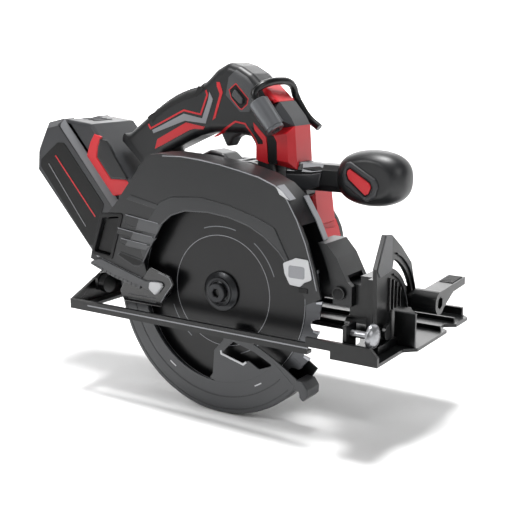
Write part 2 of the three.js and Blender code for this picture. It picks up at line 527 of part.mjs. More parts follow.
function addDepthParts() {
  const inner = DEPTH_ARC_RADIUS - 7;
  const outer = DEPTH_ARC_RADIUS + 7;
  const strip = prism("Y", outline(ringSector(DEPTH_X, DEPTH_Z, inner, outer, 191, 151, 14).reverse(),
    ringSector(DEPTH_X, DEPTH_Z, DEPTH_ARC_RADIUS - 3.6, DEPTH_ARC_RADIUS + 3.6, 182.5, 154, 12)), 17.4,
        20.4);
  const arm = prism("Y", [[-61, 16], [-60, 30], [-72, 34], [-84, 30], [-133, 26], [-133, 12]].reverse(),
      17.4, 20.4);
  const tab = prism("X", [[-4, 12], [-4, 22], [0, 26], [18, 26], [20.4, 24], [20.4, 12], [8, 9]], -133.4,
      -130.4);
  const hole = rodX(3.4, -140, -120, BEVEL_Y, BEVEL_Z);
  add("depth_bracket", cut(join(strip, arm, tab), hole), BLACK_STEEL);
  add("bevel_pivot_rear", join(rodX(3, -143, -129, BEVEL_Y, BEVEL_Z),
      rodX(8, -130, -124, BEVEL_Y, BEVEL_Z)), BLACK_STEEL);
  add("depth_pivot_bolt", join(rodY(3, -3, 30.4, DEPTH_X, DEPTH_Z, 16),
      rodY(5.2, -4.6, -2.3, DEPTH_X, DEPTH_Z, 20)), BLACK_STEEL);
  const x = DEPTH_X - DEPTH_ARC_RADIUS;
  add("depth_clamp_bolt", rodY(3.2, 13.6, 30, x, DEPTH_Z, 16), BRIGHT_STEEL);
  const grip = prism("Y", [[x + 9, DEPTH_Z - 7], [x + 9, DEPTH_Z + 7], [x - 8, DEPTH_Z + 8],
      [x - 40, DEPTH_Z + 7], [x - 44, DEPTH_Z],
    [x - 8, DEPTH_Z - 8]].reverse(), 23, 31, 1);
  const lever = cut(join(grip, rodY(8, 20.8, 24, x, DEPTH_Z)), rodY(3.5, 20, 30.4, x, DEPTH_Z, 16));
  add("depth_lever", lever, BLACK_PLASTIC);
}

function addFenceClamp() {
  const [y, z] = [-16, 18];
  const post = join(box(122, 125, y - 8.5, y + 7, 2.9, 25), box(119.5, 125, y - 8.5, y + 7, 2.9, 6));
  add("fence_clamp", cut(post, rodX(3, 118, 130, y, z)), SHOE_METAL);
  const ball = new THREE.SphereGeometry(1, 20, 10).scale(5, 9.5, 9.5);
  const head = common(ball, box(-1.2, 8, -20, 20, -20, 20)).translate(141.2, y, z);
  add("fence_screw", join(rodX(2.7, 119, 141, y, z, 14), head), BRIGHT_STEEL);
}

addBlade();
addDrive();
addUpperGuard();
addLowerGuard();
addGearbox();
addMotor();
addHandle();
addFrontHandle();
addRafterHook();
addBattery();
addShoe();
addBevelParts();
addDepthParts();
addFenceClamp();

export default root;
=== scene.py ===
"""Looks of a cordless circular saw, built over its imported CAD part."""
import json
import logging
import math
from dataclasses import dataclass, field
from enum import Enum
from typing import Callable, Iterable, Sequence

import bmesh
import bpy
from mathutils import Matrix, Vector, geometry


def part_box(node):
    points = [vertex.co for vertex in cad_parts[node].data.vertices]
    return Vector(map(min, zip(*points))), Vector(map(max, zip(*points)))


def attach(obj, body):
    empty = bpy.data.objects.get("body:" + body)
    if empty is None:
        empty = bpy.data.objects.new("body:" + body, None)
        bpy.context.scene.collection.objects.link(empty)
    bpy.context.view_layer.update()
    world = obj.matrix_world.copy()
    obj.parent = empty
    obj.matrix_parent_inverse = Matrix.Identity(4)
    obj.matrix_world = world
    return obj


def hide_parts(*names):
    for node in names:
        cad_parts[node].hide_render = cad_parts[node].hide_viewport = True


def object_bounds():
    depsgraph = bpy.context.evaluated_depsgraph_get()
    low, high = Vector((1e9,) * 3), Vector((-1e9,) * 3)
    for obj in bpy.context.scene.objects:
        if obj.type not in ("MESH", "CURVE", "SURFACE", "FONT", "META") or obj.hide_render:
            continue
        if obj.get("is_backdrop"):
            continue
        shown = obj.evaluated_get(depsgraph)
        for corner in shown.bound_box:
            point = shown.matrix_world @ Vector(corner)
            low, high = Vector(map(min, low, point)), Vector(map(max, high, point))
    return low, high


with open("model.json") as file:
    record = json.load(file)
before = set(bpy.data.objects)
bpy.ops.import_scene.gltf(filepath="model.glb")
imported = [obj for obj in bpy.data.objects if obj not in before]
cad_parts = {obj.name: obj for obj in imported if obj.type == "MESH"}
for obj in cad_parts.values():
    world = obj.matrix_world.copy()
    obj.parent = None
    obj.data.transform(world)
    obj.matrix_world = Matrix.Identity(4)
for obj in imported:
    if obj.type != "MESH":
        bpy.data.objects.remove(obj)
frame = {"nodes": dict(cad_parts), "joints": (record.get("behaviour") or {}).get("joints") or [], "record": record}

LOG = logging.getLogger("saw")
Pair = tuple[float, float]
Outline = Sequence[Pair]
Skin = Callable[[float, float], float]

MM = 0.001
JOINTS = {joint["name"]: joint for joint in frame["joints"]}
ARBOR = Vector(JOINTS["blade_spin"]["pos_m"]) / MM
BLADE_RADIUS = (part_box("saw_blade")[1].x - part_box("saw_blade")[0].x) / 2 / MM
HANDLE_MIDDLE = (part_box("handle_shell_right")[0].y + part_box("handle_shell_left")[1].y) / 2 / MM - ARBOR.y
HANDLE_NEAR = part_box("handle_shell_right")[0].y / MM - ARBOR.y
PACK_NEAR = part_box("battery_case_lower")[0].y / MM - ARBOR.y
GUARD_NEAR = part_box("upper_guard")[0].y / MM - ARBOR.y


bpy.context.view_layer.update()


# ---------------------------------------------------------------- finishes
def linear(code: int) -> tuple[float, float, float, float]:
    """A colour written as 0xRRGGBB, in linear light."""
    parts = [((code >> shift) & 255) / 255 for shift in (16, 8, 0)]
    return (*[p / 12.92 if p < 0.04045 else ((p + 0.055) / 1.055) ** 2.4 for p in parts], 1.0)


@dataclass(frozen=True)
class Finish:
    """A painted, moulded or metal surface with a fine grain."""

    name: str
    color: int
    roughness: float = 0.45
    metallic: float = 0.0
    grain: float = 900.0
    depth: float = 0.08
    spread: float = 0.12
    coat: float = 0.0
    specular: float = 0.5
    glow: float = 0.0

    def material(self) -> bpy.types.Material:
        """The finish as a procedural material, made once."""
        made = bpy.data.materials.get("finish_" + self.name)
        return made or self._build()

    def _build(self) -> bpy.types.Material:
        """Colour, roughness and bump, each varied by noise in object space.

        Returns:
            The material.
        """
        made = bpy.data.materials.new("finish_" + self.name)
        made.use_nodes = True
        tree = made.node_tree
        shader = tree.nodes["Principled BSDF"]
        place = tree.nodes.new("ShaderNodeTexCoord")
        cloud, grain = (tree.nodes.new("ShaderNodeTexNoise") for _ in range(2))
        cloud.inputs["Scale"].default_value = 22.0
        cloud.inputs["Detail"].default_value = 4.0
        grain.inputs["Scale"].default_value = self.grain
        grain.inputs["Detail"].default_value = 3.0
        for noise in (cloud, grain):
            tree.links.new(place.outputs["Object"], noise.inputs["Vector"])
        tint = tree.nodes.new("ShaderNodeMix")
        tint.data_type = "RGBA"
        base = linear(self.color)
        tint.inputs["A"].default_value = (*[c * (1 - self.spread) for c in base[:3]], 1)
        tint.inputs["B"].default_value = (*[min(1, c * (1 + self.spread)) for c in base[:3]], 1)
        tree.links.new(cloud.outputs["Fac"], tint.inputs["Factor"])
        tree.links.new(tint.outputs["Result"], shader.inputs["Base Color"])
        gloss = tree.nodes.new("ShaderNodeMapRange")
        gloss.inputs["To Min"].default_value = self.roughness * 0.88
        gloss.inputs["To Max"].default_value = min(1.0, self.roughness * 1.12)
        tree.links.new(grain.outputs["Fac"], gloss.inputs["Value"])
        tree.links.new(gloss.outputs["Result"], shader.inputs["Roughness"])
        bump = tree.nodes.new("ShaderNodeBump")
        bump.inputs["Strength"].default_value = self.depth
        bump.inputs["Distance"].default_value = 0.0002
        tree.links.new(grain.outputs["Fac"], bump.inputs["Height"])
        tree.links.new(bump.outputs["Normal"], shader.inputs["Normal"])
        shader.inputs["Metallic"].default_value = self.metallic
        shader.inputs["Coat Weight"].default_value = self.coat
        shader.inputs["Specular IOR Level"].default_value = self.specular
        shader.inputs["Emission Color"].default_value = base
        shader.inputs["Emission Strength"].default_value = self.glow
        return made


class Look(Enum):
    """Every finish on the saw."""

    CASTING = Finish("casting", 0x111214, 0.4, 0.0, 1400, 0.12, 0.1)
    # a lighter tone of the casting, used for thin lines and rims, and painted on the window's border as the
    # lighter shading of its slope
    CASTING_LIGHT = Finish("casting_light", 0x232426, 0.4, 0.0, 1400, 0.12)
    # pale grey: the handle's silver band, the blade's printed rings and small plates, and also painted highlights
    # on the guard's edges and facets and on the shoe's rail
    FACET = Finish("facet", 0x85868A, 0.42, 0.0, 1200, 0.08)
    PALE = Finish("pale", 0xB9BABC, 0.45, 0.0, 1200, 0.05)
    GUARD = Finish("guard", 0x3C3D3F, 0.4, 0.1, 1500, 0.12, 0.08)
    CHARCOAL = Finish("charcoal", 0x141517, 0.4, 0.0, 1100, 0.1)
    GREY = Finish("grey", 0x434446, 0.4, 0.0, 1100, 0.1)
    BLACK = Finish("black", 0x070708, 0.45, 0.0, 1000, 0.08, specular=0.3)
    GLOSS_BLACK = Finish("gloss_black", 0x08080A, 0.2, 0.0, 600, 0.02, 0.1, 0.3)
    BLADE = Finish("blade", 0x08080A, 0.3, 0.0, 700, 0.04, 0.1, specular=0.35)
    BLADE_RIM = Finish("blade_rim", 0x4C4D50, 0.36, 0.4, 1600, 0.08, 0.1)
    RUBBER = Finish("rubber", 0x0C0C0D, 0.55, 0.0, 2200, 0.25, specular=0.4)
    RED = Finish("red", 0xC41C26, 0.36, 0.0, 1200, 0.06, 0.06)
    STEEL = Finish("steel", 0x98999C, 0.33, 0.85, 1500, 0.01, 0.04)
    SATIN = Finish("satin", 0x6E7073, 0.36, 0.7, 1500, 0.02, 0.05)
    BLACK_STEEL = Finish("black_steel", 0x08090A, 0.3, 0.0, 1300, 0.08, specular=0.4)
    DARK_STEEL = Finish("dark_steel", 0x2B2C2E, 0.3, 0.6, 1600, 0.08)
    LIGHT_CHARCOAL = Finish("light_charcoal", 0x2B2C2F, 0.4, 0.0, 1100, 0.1)
    # pale grey painted on chamfers and facets that face the light, as painted highlights
    CHAMFER = Finish("chamfer", 0x77787B, 0.38, 0.2, 1100, 0.06)
    CARBIDE = Finish("carbide", 0x9FA1A5, 0.32, 0.8, 1500, 0.1)
    COPPER = Finish("copper", 0xB0693A, 0.35, 0.9, 1500, 0.2)
    BOARD = Finish("board", 0x1F5A36, 0.5, 0.0, 800, 0.2)
    WRAP = Finish("wrap", 0x2F7FB0, 0.4, 0.0, 900, 0.05)
    FLOOR = Finish("floor", 0xF4F4F4, 0.7, 0.0, 30, 0.01, 0.01)
    BACKDROP = Finish("backdrop", 0xFFFFFF, 0.9, 0.0, 30, 0.01, 0.01, glow=1.0)


# ---------------------------------------------------------------- outlines
def arc(centre: Pair, radius: float, start: float, end: float, steps: int) -> list[Pair]:
    """Points on an arc, from one angle to another in degrees."""
    turns = [math.radians(start + (end - start) * i / steps) for i in range(steps + 1)]
    return [(centre[0] + radius * math.cos(t), centre[1] + radius * math.sin(t)) for t in turns]


def disc(centre: Pair, radius: float, sides: int = 40) -> list[Pair]:
    """A closed circle as an outline."""
    return arc(centre, radius, 0, 360 - 360 / sides, sides - 1)


def box(low: Pair, high: Pair) -> list[Pair]:
    """A rectangle as an outline."""
    return [low, (high[0], low[1]), high, (low[0], high[1])]


def eased(points: Outline, radius: float, steps: int = 5, closed: bool = True) -> list[Pair]:
    """An outline with each corner rounded.

    Args:
        points: the outline's corners.
        radius: the rounding's radius, made smaller where an edge is short.
        steps: how many pieces each corner gets.
        closed: whether the last point joins the first.

    Returns:
        The rounded outline.
    """
    count, made = len(points), []
    for i, point in enumerate(points):
        here = Vector(point)
        if not closed and i in (0, count - 1):
            made.append(tuple(here))
            continue
        back, ahead = Vector(points[i - 1]) - here, Vector(points[(i + 1) % count]) - here
        reach = min(back.length, ahead.length) * 0.48
        corner = back.angle(ahead, math.pi)
        cut = min(radius / max(math.tan(corner / 2), 0.05), reach)
        if corner > math.radians(172) or cut < 0.05:
            made.append(tuple(here))
            continue
        start, end = here + back.normalized() * cut, here + ahead.normalized() * cut
        for k in range(steps + 1):
            t = k / steps
            made.append(tuple(start * (1 - t) ** 2 + here * 2 * t * (1 - t) + end * t * t))
    return made


def signed_area(points: Outline) -> float:
    """Twice the outline's area, positive if it runs anticlockwise."""
    return sum(a[0] * b[1] - b[0] * a[1] for a, b in zip(points, [*points[1:], points[0]]))


def inset(points: Outline, distance: float, closed: bool = True) -> list[Pair]:
    """An anticlockwise outline moved inwards, or an open line moved to its left.

    Args:
        points: the outline's or line's points.
        distance: how far it moves.
        closed: whether the last point joins the first.

    Returns:
        The moved points.
    """
    made, count = [], len(points)
    for i, point in enumerate(points):
        here = Vector(point)
        normals = []
        for j in ((i - 1, i), (i, i + 1)):
            if closed or 0 <= j[0] and j[1] < count:
                edge = Vector(points[j[1] % count]) - Vector(points[j[0] % count])
                if edge.length > 1e-6:
                    normals.append(Vector((-edge.y, edge.x)).normalized())
        first, last = normals[0], normals[-1]
        share = max(1 + first.dot(last), 0.35)
        made.append(tuple(here + (first + last) * distance / share))
    return made


def ribbon(points: Outline, width: float) -> list[Pair]:
    """An open line widened into an outline."""
    return [*inset(points, -width / 2, False), *reversed(inset(points, width / 2, False))]


def edge_distance(point: Vector, loops: Sequence[Outline]) -> float:
    """The distance from a point to the nearest side of any outline.

    Args:
        point: the place asked about.
        loops: the outlines.

    Returns:
        The shortest distance.
    """
    best = 1e9
    for loop in loops:
        for a, b in zip(loop, [*loop[1:], loop[0]]):
            start, side = Vector(a), Vector(b) - Vector(a)
            t = min(1, max(0, (point - start).dot(side) / max(side.length_squared, 1e-9)))
            best = min(best, (point - start - side * t).length)
    return best


# ---------------------------------------------------------------- pieces
class Along(Enum):
    """The axis an outline is carried along."""

    X = "X"
    Y = "Y"
    Z = "Z"

    def at(self, a: float, b: float, level: float) -> Vector:
        """A point of an outline at a level, from the blade's plane and the sole."""
        return Vector({"X": (level, a, b), "Y": (a, level, b), "Z": (a, b, level)}[self.value])


def to_row(point: Vector) -> Vector:
    """A point from the saw's own millimetres to the part's frame in metres."""
    return Vector((point.x, point.y + ARBOR.y, point.z)) * MM


class Piece:
    """One visible piece, put together from simple solids and made into one plain mesh."""

    def __init__(self, name: str) -> None:
        """Starts an empty piece.

        Args:
            name: the piece's name.
        """
        self.name = name
        self.bm = bmesh.new()
        self.looks: list[Look] = []

    def _index(self, look: Look) -> int:
        """The material number of a finish in this piece.

        Args:
            look: the finish.

        Returns:
            Its number.
        """
        if look not in self.looks:
            self.looks.append(look)
        return self.looks.index(look)

    def _close(self, faces: Iterable[bmesh.types.BMFace], look: Look) -> None:
        """Gives new faces their finish and turns them outwards.

        Args:
            faces: the new faces; lost ones are passed over.
            look: their finish.
        """
        kept = [face for face in faces if face is not None and face.is_valid]
        for face in kept:
            face.material_index = self._index(look)
        bmesh.ops.recalc_face_normals(self.bm, faces=kept)

    def _face(self, verts: Sequence[bmesh.types.BMVert]) -> bmesh.types.BMFace | None:
        """A face, or None if its corners repeat."""
        return self.bm.faces.new(verts) if len(set(verts)) == len(verts) else None

    def slab(self, along: Along, points: Outline, low: float, high: float, look: Look,
             rim: float = 0.5, steps: int = 2, holes: Sequence[Outline] = (),
             rims: tuple[bool, bool] = (True, True)) -> "Piece":
        """An outline carried from one level to another.

        Args:
            along: the axis it is carried along.
            points: the outline, in the two other axes.
            low: the lower level.
            high: the upper level.
            look: its finish.
            rim: the radius of its rounded rims, or the size of a flat chamfer if steps is 1.
            steps: how many pieces each rim gets.
            holes: outlines cut right through.
            rims: whether the low and the high rim are rounded.

        Returns:
            This piece.
        """
        loops = [list(p) if signed_area(p) > 0 else list(reversed(p)) for p in (points, *holes)]
        rim = min(rim, (high - low) / 2.01)
        turn = [math.pi / 2 * k / steps for k in range(steps + 1)]
        ends = []
        for level, way, rounded in ((low, 1, rims[0]), (high, -1, rims[1])):
            here = [(level + way * rim * (1 - math.cos(t)), rim * (1 - math.sin(t))) for t in turn]
            ends.append(here if rounded and rim > 0 else [(level, 0.0)])
        levels = [*ends[0], *reversed(ends[1])]
        rings, faces = [], []
        for level, back in levels:
            moved = [inset(p, back if i == 0 else -back) if back else p for i, p in enumerate(loops)]
            rings.append([[self.bm.verts.new(along.at(a, b, level)) for a, b in p] for p in moved])
        for first, second in zip(rings, rings[1:]):
            for one, two in zip(first, second):
                for i in range(len(one)):
                    j = (i + 1) % len(one)
                    faces.append(self._face((one[i], one[j], two[j], two[i])))
        for ring, (_, back) in ((rings[0], levels[0]), (rings[-1], levels[-1])):
            flat = [v for loop in ring for v in loop]
            caps = [[Vector((a, b, 0)) for a, b in (inset(p, back if i == 0 else -back) if back else p)]
                    for i, p in enumerate(loops)]
            for tri in geometry.tessellate_polygon(caps):
                faces.append(self._face([flat[k] for k in tri]))
        self._close(faces, look)
        return self

    def turned(self, along: Along, centre: Pair, profile: Outline, look: Look, sides: int = 64,
               start: float = 0.0, sweep: float = 360.0, frame_of: Matrix | None = None) -> "Piece":
        """A profile of (radius, level) pairs turned round an axis, all the way or part of it.

        Args:
            along: the axis.
            centre: where the axis crosses the outline's plane.
            profile: its pairs; the last repeats the first where it is closed.
            look: its finish.
            sides: how many steps the turn has.
            start: where the turn starts, in degrees.
            sweep: how far it goes, in degrees.
            frame_of: what places the points, where they are turned or moved.

        Returns:
            This piece.
        """
        full, closed = abs(sweep - 360) < 1e-6, tuple(profile[0]) == tuple(profile[-1])
        line = list(profile[:-1]) if closed else list(profile)
        count = sides if full else sides + 1
        rings, faces = [], []
        for i in range(count):
            angle = math.radians(start + sweep * i / sides)
            spots = [along.at(centre[0] + r * math.cos(angle), centre[1] + r * math.sin(angle), level)
                     for r, level in line]
            rings.append([self.bm.verts.new(frame_of @ p if frame_of else p) for p in spots])
        pairs = [(i, (i + 1) % count) for i in range(count if full else count - 1)]
        spans = [(k, (k + 1) % len(line)) for k in range(len(line) if closed else len(line) - 1)]
        for i, j in pairs:
            for k, m in spans:
                faces.append(self._face((rings[i][k], rings[i][m], rings[j][m], rings[j][k])))
        if not full:
            faces += [self._face(rings[0]), self._face(rings[-1])]
        self._close(faces, look)
        bmesh.ops.remove_doubles(self.bm, verts=[v for ring in rings for v in ring], dist=1e-4)
        return self

    def loft(self, rings: Sequence[Sequence[Vector]], look: Look) -> "Piece":
        """A skin over closed rings of equal count, with flat ends.

        Args:
            rings: the rings of points, in order.
            look: its finish.

        Returns:
            This piece.
        """
        made = [[self.bm.verts.new(p) for p in ring] for ring in rings]
        faces = [self._face(made[0]), self._face(made[-1])]
        for one, two in zip(made, made[1:]):
            for i in range(len(one)):
                j = (i + 1) % len(one)
                faces.append(self._face((one[i], one[j], two[j], two[i])))
        self._close(faces, look)
        return self

    def facet(self, points: Sequence[tuple[float, float, float]], look: Look, depth: float = 0.8) -> "Piece":
        """A thin flat plate with these corners, its thickness behind them as seen from the blade's side.

        Args:
            points: the corners, in order.
            look: its finish.
            depth: the plate's thickness.

        Returns:
            This piece.
        """
        spots = [Vector(p) for p in points]
        normal = geometry.normal(spots)
        normal = normal if normal.y < 0 or abs(normal.y) < 1e-3 and normal.z > 0 else -normal
        front = [self.bm.verts.new(p) for p in spots]
        back = [self.bm.verts.new(p - normal * depth) for p in spots]
        faces = [self._face(front), self._face(back)]
        for i in range(len(front)):
            j = (i + 1) % len(front)
            faces.append(self._face((front[i], front[j], back[j], back[i])))
        self._close(faces, look)
        return self

    def decal(self, points: Outline, skin: Skin, look: Look, lift: float = 0.3, cell: float = 2.5,
              mirror: float | None = None) -> "Piece":
        """A raised panel that follows a curved side.

        Args:
            points: its outline in X and Z.
            skin: the side's Y at a place in X and Z.
            look: its finish.
            lift: how far it stands out.
            cell: the spacing of its points.
            mirror: the Y of a plane to repeat it behind, if any.

        Returns:
            This piece.
        """
        for plane in (None,) if mirror is None else (None, mirror):
            small = bmesh.new()
            small.faces.new([small.verts.new((a, 0, b)) for a, b in points])
            for axis in (0, 2):
                values = [v.co[axis] for v in small.verts]
                spot = math.floor(min(values) / cell) * cell
                while spot < max(values):
                    normal = Vector((1, 0, 0)) if axis == 0 else Vector((0, 0, 1))
                    everything = [*small.verts, *small.edges, *small.faces]
                    bmesh.ops.bisect_plane(small, geom=everything, plane_co=normal * spot, plane_no=normal)
                    spot += cell
            grown = bmesh.ops.extrude_face_region(small, geom=small.faces[:])["geom"]
            fresh = {g for g in grown if isinstance(g, bmesh.types.BMVert)}
            for vert in small.verts:
                level = skin(vert.co.x, vert.co.z) + (-lift if vert in fresh else 1.2)
                vert.co.y = level if plane is None else 2 * plane - level
            twin = {v: self.bm.verts.new(v.co) for v in small.verts}
            faces = [self._face([twin[v] for v in face.verts]) for face in small.faces]
            small.free()
            self._close(faces, look)
        return self

    def take(self, mesh: bpy.types.Mesh, look: Look) -> "Piece":
        """Adds a mesh that is already in the part's frame.

        Args:
            mesh: the mesh.
            look: its finish.

        Returns:
            This piece.
        """
        small = bmesh.new()
        small.from_mesh(mesh)
        twin = {v: self.bm.verts.new(Vector((v.co.x / MM, v.co.y / MM - ARBOR.y, v.co.z / MM)))
                for v in small.verts}
        faces = [self._face([twin[v] for v in face.verts]) for face in small.faces]
        small.free()
        self._close(faces, look)
        return self

    def paint(self, look: Look, test: Callable[[Vector, Vector], bool]) -> "Piece":
        """Gives a finish to the faces whose centre and normal pass a test.

        Args:
            look: its finish.
            test: says of a centre and a normal whether the face gets the finish.

        Returns:
            This piece.
        """
        index = self._index(look)
        self.bm.normal_update()
        for face in self.bm.faces:
            if test(face.calc_center_median(), face.normal):
                face.material_index = index
        return self

    def carve(self, tool: "Piece") -> "Piece":
        """Cuts another piece's solid out of this one.

        Args:
            tool: the piece that is cut away; it is used up.

        Returns:
            This piece.
        """
        pair = []
        for part in (self, tool):
            mesh = bpy.data.meshes.new(part.name)
            part.bm.to_mesh(mesh)
            part.bm.free()
            pair.append(bpy.data.objects.new(part.name, mesh))
            bpy.context.scene.collection.objects.link(pair[-1])
        modifier = pair[0].modifiers.new("cut", "BOOLEAN")
        modifier.object, modifier.operation, modifier.solver = pair[1], "DIFFERENCE", "EXACT"
        bpy.context.view_layer.update()
        plain = bpy.data.meshes.new_from_object(pair[0].evaluated_get(bpy.context.evaluated_depsgraph_get()))
        self.bm = bmesh.new()
        self.bm.from_mesh(plain)
        for made in pair:
            bpy.data.objects.remove(made)
        bpy.data.meshes.remove(plain)
        return self

    def place(self, body: str, *nodes: str, soften: float = 38.0) -> bpy.types.Object:
        """Makes the piece's object, shades it and hands it to the frame.

        Args:
            body: the CAD body it moves with.
            nodes: the CAD nodes it stands for.
            soften: edges sharper than this angle in degrees stay sharp.

        Returns:
            The finished object.
        """
        for vert in self.bm.verts:
            vert.co = to_row(vert.co)
        for edge in self.bm.edges:
            edge.smooth = len(edge.link_faces) == 2 and edge.calc_face_angle(0) < math.radians(soften)
        for face in self.bm.faces:
            face.smooth = True
        mesh = bpy.data.meshes.new(self.name)
        self.bm.to_mesh(mesh)
        self.bm.free()
        for look in self.looks:
            mesh.materials.append(look.value.material())
        made = bpy.data.objects.new(self.name, mesh)
        bpy.context.scene.collection.objects.link(made)
        weigh = made.modifiers.new("weigh", "WEIGHTED_NORMAL")
        weigh.keep_sharp = True
        weigh.weight = 100
        settle(made)
        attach(made, body)
        if nodes:
            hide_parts(*nodes)
        LOG.info("%s: %d faces", self.name, len(made.data.polygons))
        return made


def settle(made: bpy.types.Object) -> None:
    """Turns an object's modifiers into its plain mesh.

    Args:
        made: the object.
    """
    bpy.context.view_layer.update()
    graph = bpy.context.evaluated_depsgraph_get()
    plain = bpy.data.meshes.new_from_object(made.evaluated_get(graph))
    plain.name = made.name
    old = made.data
    made.modifiers.clear()
    made.data = plain
    bpy.data.meshes.remove(old)


# ---------------------------------------------------------------- geometry nodes
class Grown:
    """A geometry node tree with named inputs, run once to give a plain mesh."""

    def __init__(self, name: str) -> None:
        """Starts a tree whose only output is its geometry.

        Args:
            name: the tree's name.
        """
        self.tree = bpy.data.node_groups.new(name, "GeometryNodeTree")
        self.tree.interface.new_socket("Geometry", in_out="OUTPUT", socket_type="NodeSocketGeometry")
        self.values: dict[str, object] = {}
        self.inlet = self.tree.nodes.new("NodeGroupInput")
        self.outlet = self.tree.nodes.new("NodeGroupOutput")

    def input(self, name: str, kind: str, value: object) -> bpy.types.NodeSocket:
        """A named input and the value it gets.

        Args:
            name: the input's name.
            kind: the last word of the socket's type, such as Float.
            value: what it is set to.

        Returns:
            The socket that gives the value inside the tree.
        """
        socket = self.tree.interface.new_socket(name, in_out="INPUT", socket_type="NodeSocket" + kind)
        self.values[socket.identifier] = value
        return self.inlet.outputs[name]

    def node(self, kind: str, links: dict[str, object] | None = None, **settings: object) -> bpy.types.Node:
        """A node with its settings, and its inputs linked or set.

        Args:
            kind: the node's type.
            links: what each input is linked or set to.
            settings: the node's own settings.

        Returns:
            The node.
        """
        made = self.tree.nodes.new(kind)
        for key, value in settings.items():
            setattr(made, key, value)
        for key, value in (links or {}).items():
            if isinstance(value, bpy.types.NodeSocket):
                self.tree.links.new(value, made.inputs[key])
            else:
                made.inputs[key].default_value = value
        return made

    def mesh(self, geometry_out: bpy.types.NodeSocket, look: Look) -> bpy.types.Mesh:
        """Realizes the geometry, gives it its finish and returns it as a plain mesh.

        Args:
            geometry_out: the socket that gives the finished geometry.
            look: its finish.

        Returns:
            The mesh.
        """
        finish = self.input("Finish", "Material", look.value.material())
        real = self.node("GeometryNodeRealizeInstances", {"Geometry": geometry_out})
        dressed = self.node("GeometryNodeSetMaterial", {"Geometry": real.outputs[0], "Material": finish})
        self.tree.links.new(dressed.outputs[0], self.outlet.inputs[0])
        host = bpy.data.objects.new(self.tree.name, bpy.data.meshes.new(self.tree.name))
        bpy.context.scene.collection.objects.link(host)
        modifier = host.modifiers.new("grow", "NODES")
        modifier.node_group = self.tree
        for key, value in self.values.items():
            modifier[key] = value
        bpy.context.view_layer.update()
        graph = bpy.context.evaluated_depsgraph_get()
        plain = bpy.data.meshes.new_from_object(host.evaluated_get(graph))
        bpy.data.objects.remove(host)
        return plain


def template(name: str, piece: Piece) -> bpy.types.Object:
    """A piece kept out of sight as the thing a tree repeats.

    Args:
        name: the object's name.
        piece: what is repeated; it is used up.

    Returns:
        The object.
    """
    mesh = bpy.data.meshes.new(name)
    for vert in piece.bm.verts:
        vert.co = vert.co * MM
    piece.bm.to_mesh(mesh)
    piece.bm.free()
    made = bpy.data.objects.new(name, mesh)
    bpy.context.scene.collection.objects.link(made)
    return made


def ring_of(name: str, piece: Piece, count: int, centre: Vector, look: Look,
            start: float = 0.0) -> bpy.types.Mesh:
    """Copies of a piece turned evenly round a line along Y.

    Args:
        name: the tree's name.
        piece: what is repeated; it is used up.
        count: how many copies.
        centre: the ring's centre.
        look: its finish.
        start: the first copy's turn, in degrees.

    Returns:
        The copies as one plain mesh.
    """
    thing = template(name + "_one", piece)
    grown = Grown(name)
    total = grown.input("Count", "Int", count)
    one = grown.input("Piece", "Object", thing)
    first = grown.input("Start", "Float", math.radians(start))
    middle = grown.input("Centre", "Vector", to_row(centre))
    line = grown.node("GeometryNodeMeshLine", {"Count": total, "Offset": (0, 0, 0), "Start Location": middle})
    info = grown.node("GeometryNodeObjectInfo", {"Object": one, "As Instance": True})
    index = grown.node("GeometryNodeInputIndex")
    step = grown.node("ShaderNodeMath", {0: math.tau, 1: total}, operation="DIVIDE")
    turn = grown.node("ShaderNodeMath", {0: index.outputs[0], 1: step.outputs[0], 2: first},
                      operation="MULTIPLY_ADD")
    spin = grown.node("ShaderNodeCombineXYZ", {"Y": turn.outputs[0]})
    copies = grown.node("GeometryNodeInstanceOnPoints", {
        "Points": line.outputs[0], "Instance": info.outputs["Geometry"], "Rotation": spin.outputs[0]})
    made = grown.mesh(copies.outputs[0], look)
    bpy.data.objects.remove(thing)
    return made


def row_of(name: str, piece: Piece, count: int, start: Vector, step: Vector, look: Look) -> bpy.types.Mesh:
    """Copies of a piece in a straight row.

    Args:
        name: the tree's name.
        piece: what is repeated; it is used up.
        count: how many copies.
        start: the first copy's place.
        step: the way from one copy to the next.
        look: its finish.

    Returns:
        The copies as one plain mesh.
    """
    thing = template(name + "_one", piece)
    grown = Grown(name)
    total = grown.input("Count", "Int", count)
    one = grown.input("Piece", "Object", thing)
    first = grown.input("Start", "Vector", to_row(start))
    stride = grown.input("Step", "Vector", step * MM)
    line = grown.node("GeometryNodeMeshLine", {"Count": total, "Offset": stride, "Start Location": first})
    info = grown.node("GeometryNodeObjectInfo", {"Object": one, "As Instance": True})
    copies = grown.node("GeometryNodeInstanceOnPoints", {
        "Points": line.outputs[0], "Instance": info.outputs["Geometry"]})
    made = grown.mesh(copies.outputs[0], look)
    bpy.data.objects.remove(thing)
    return made


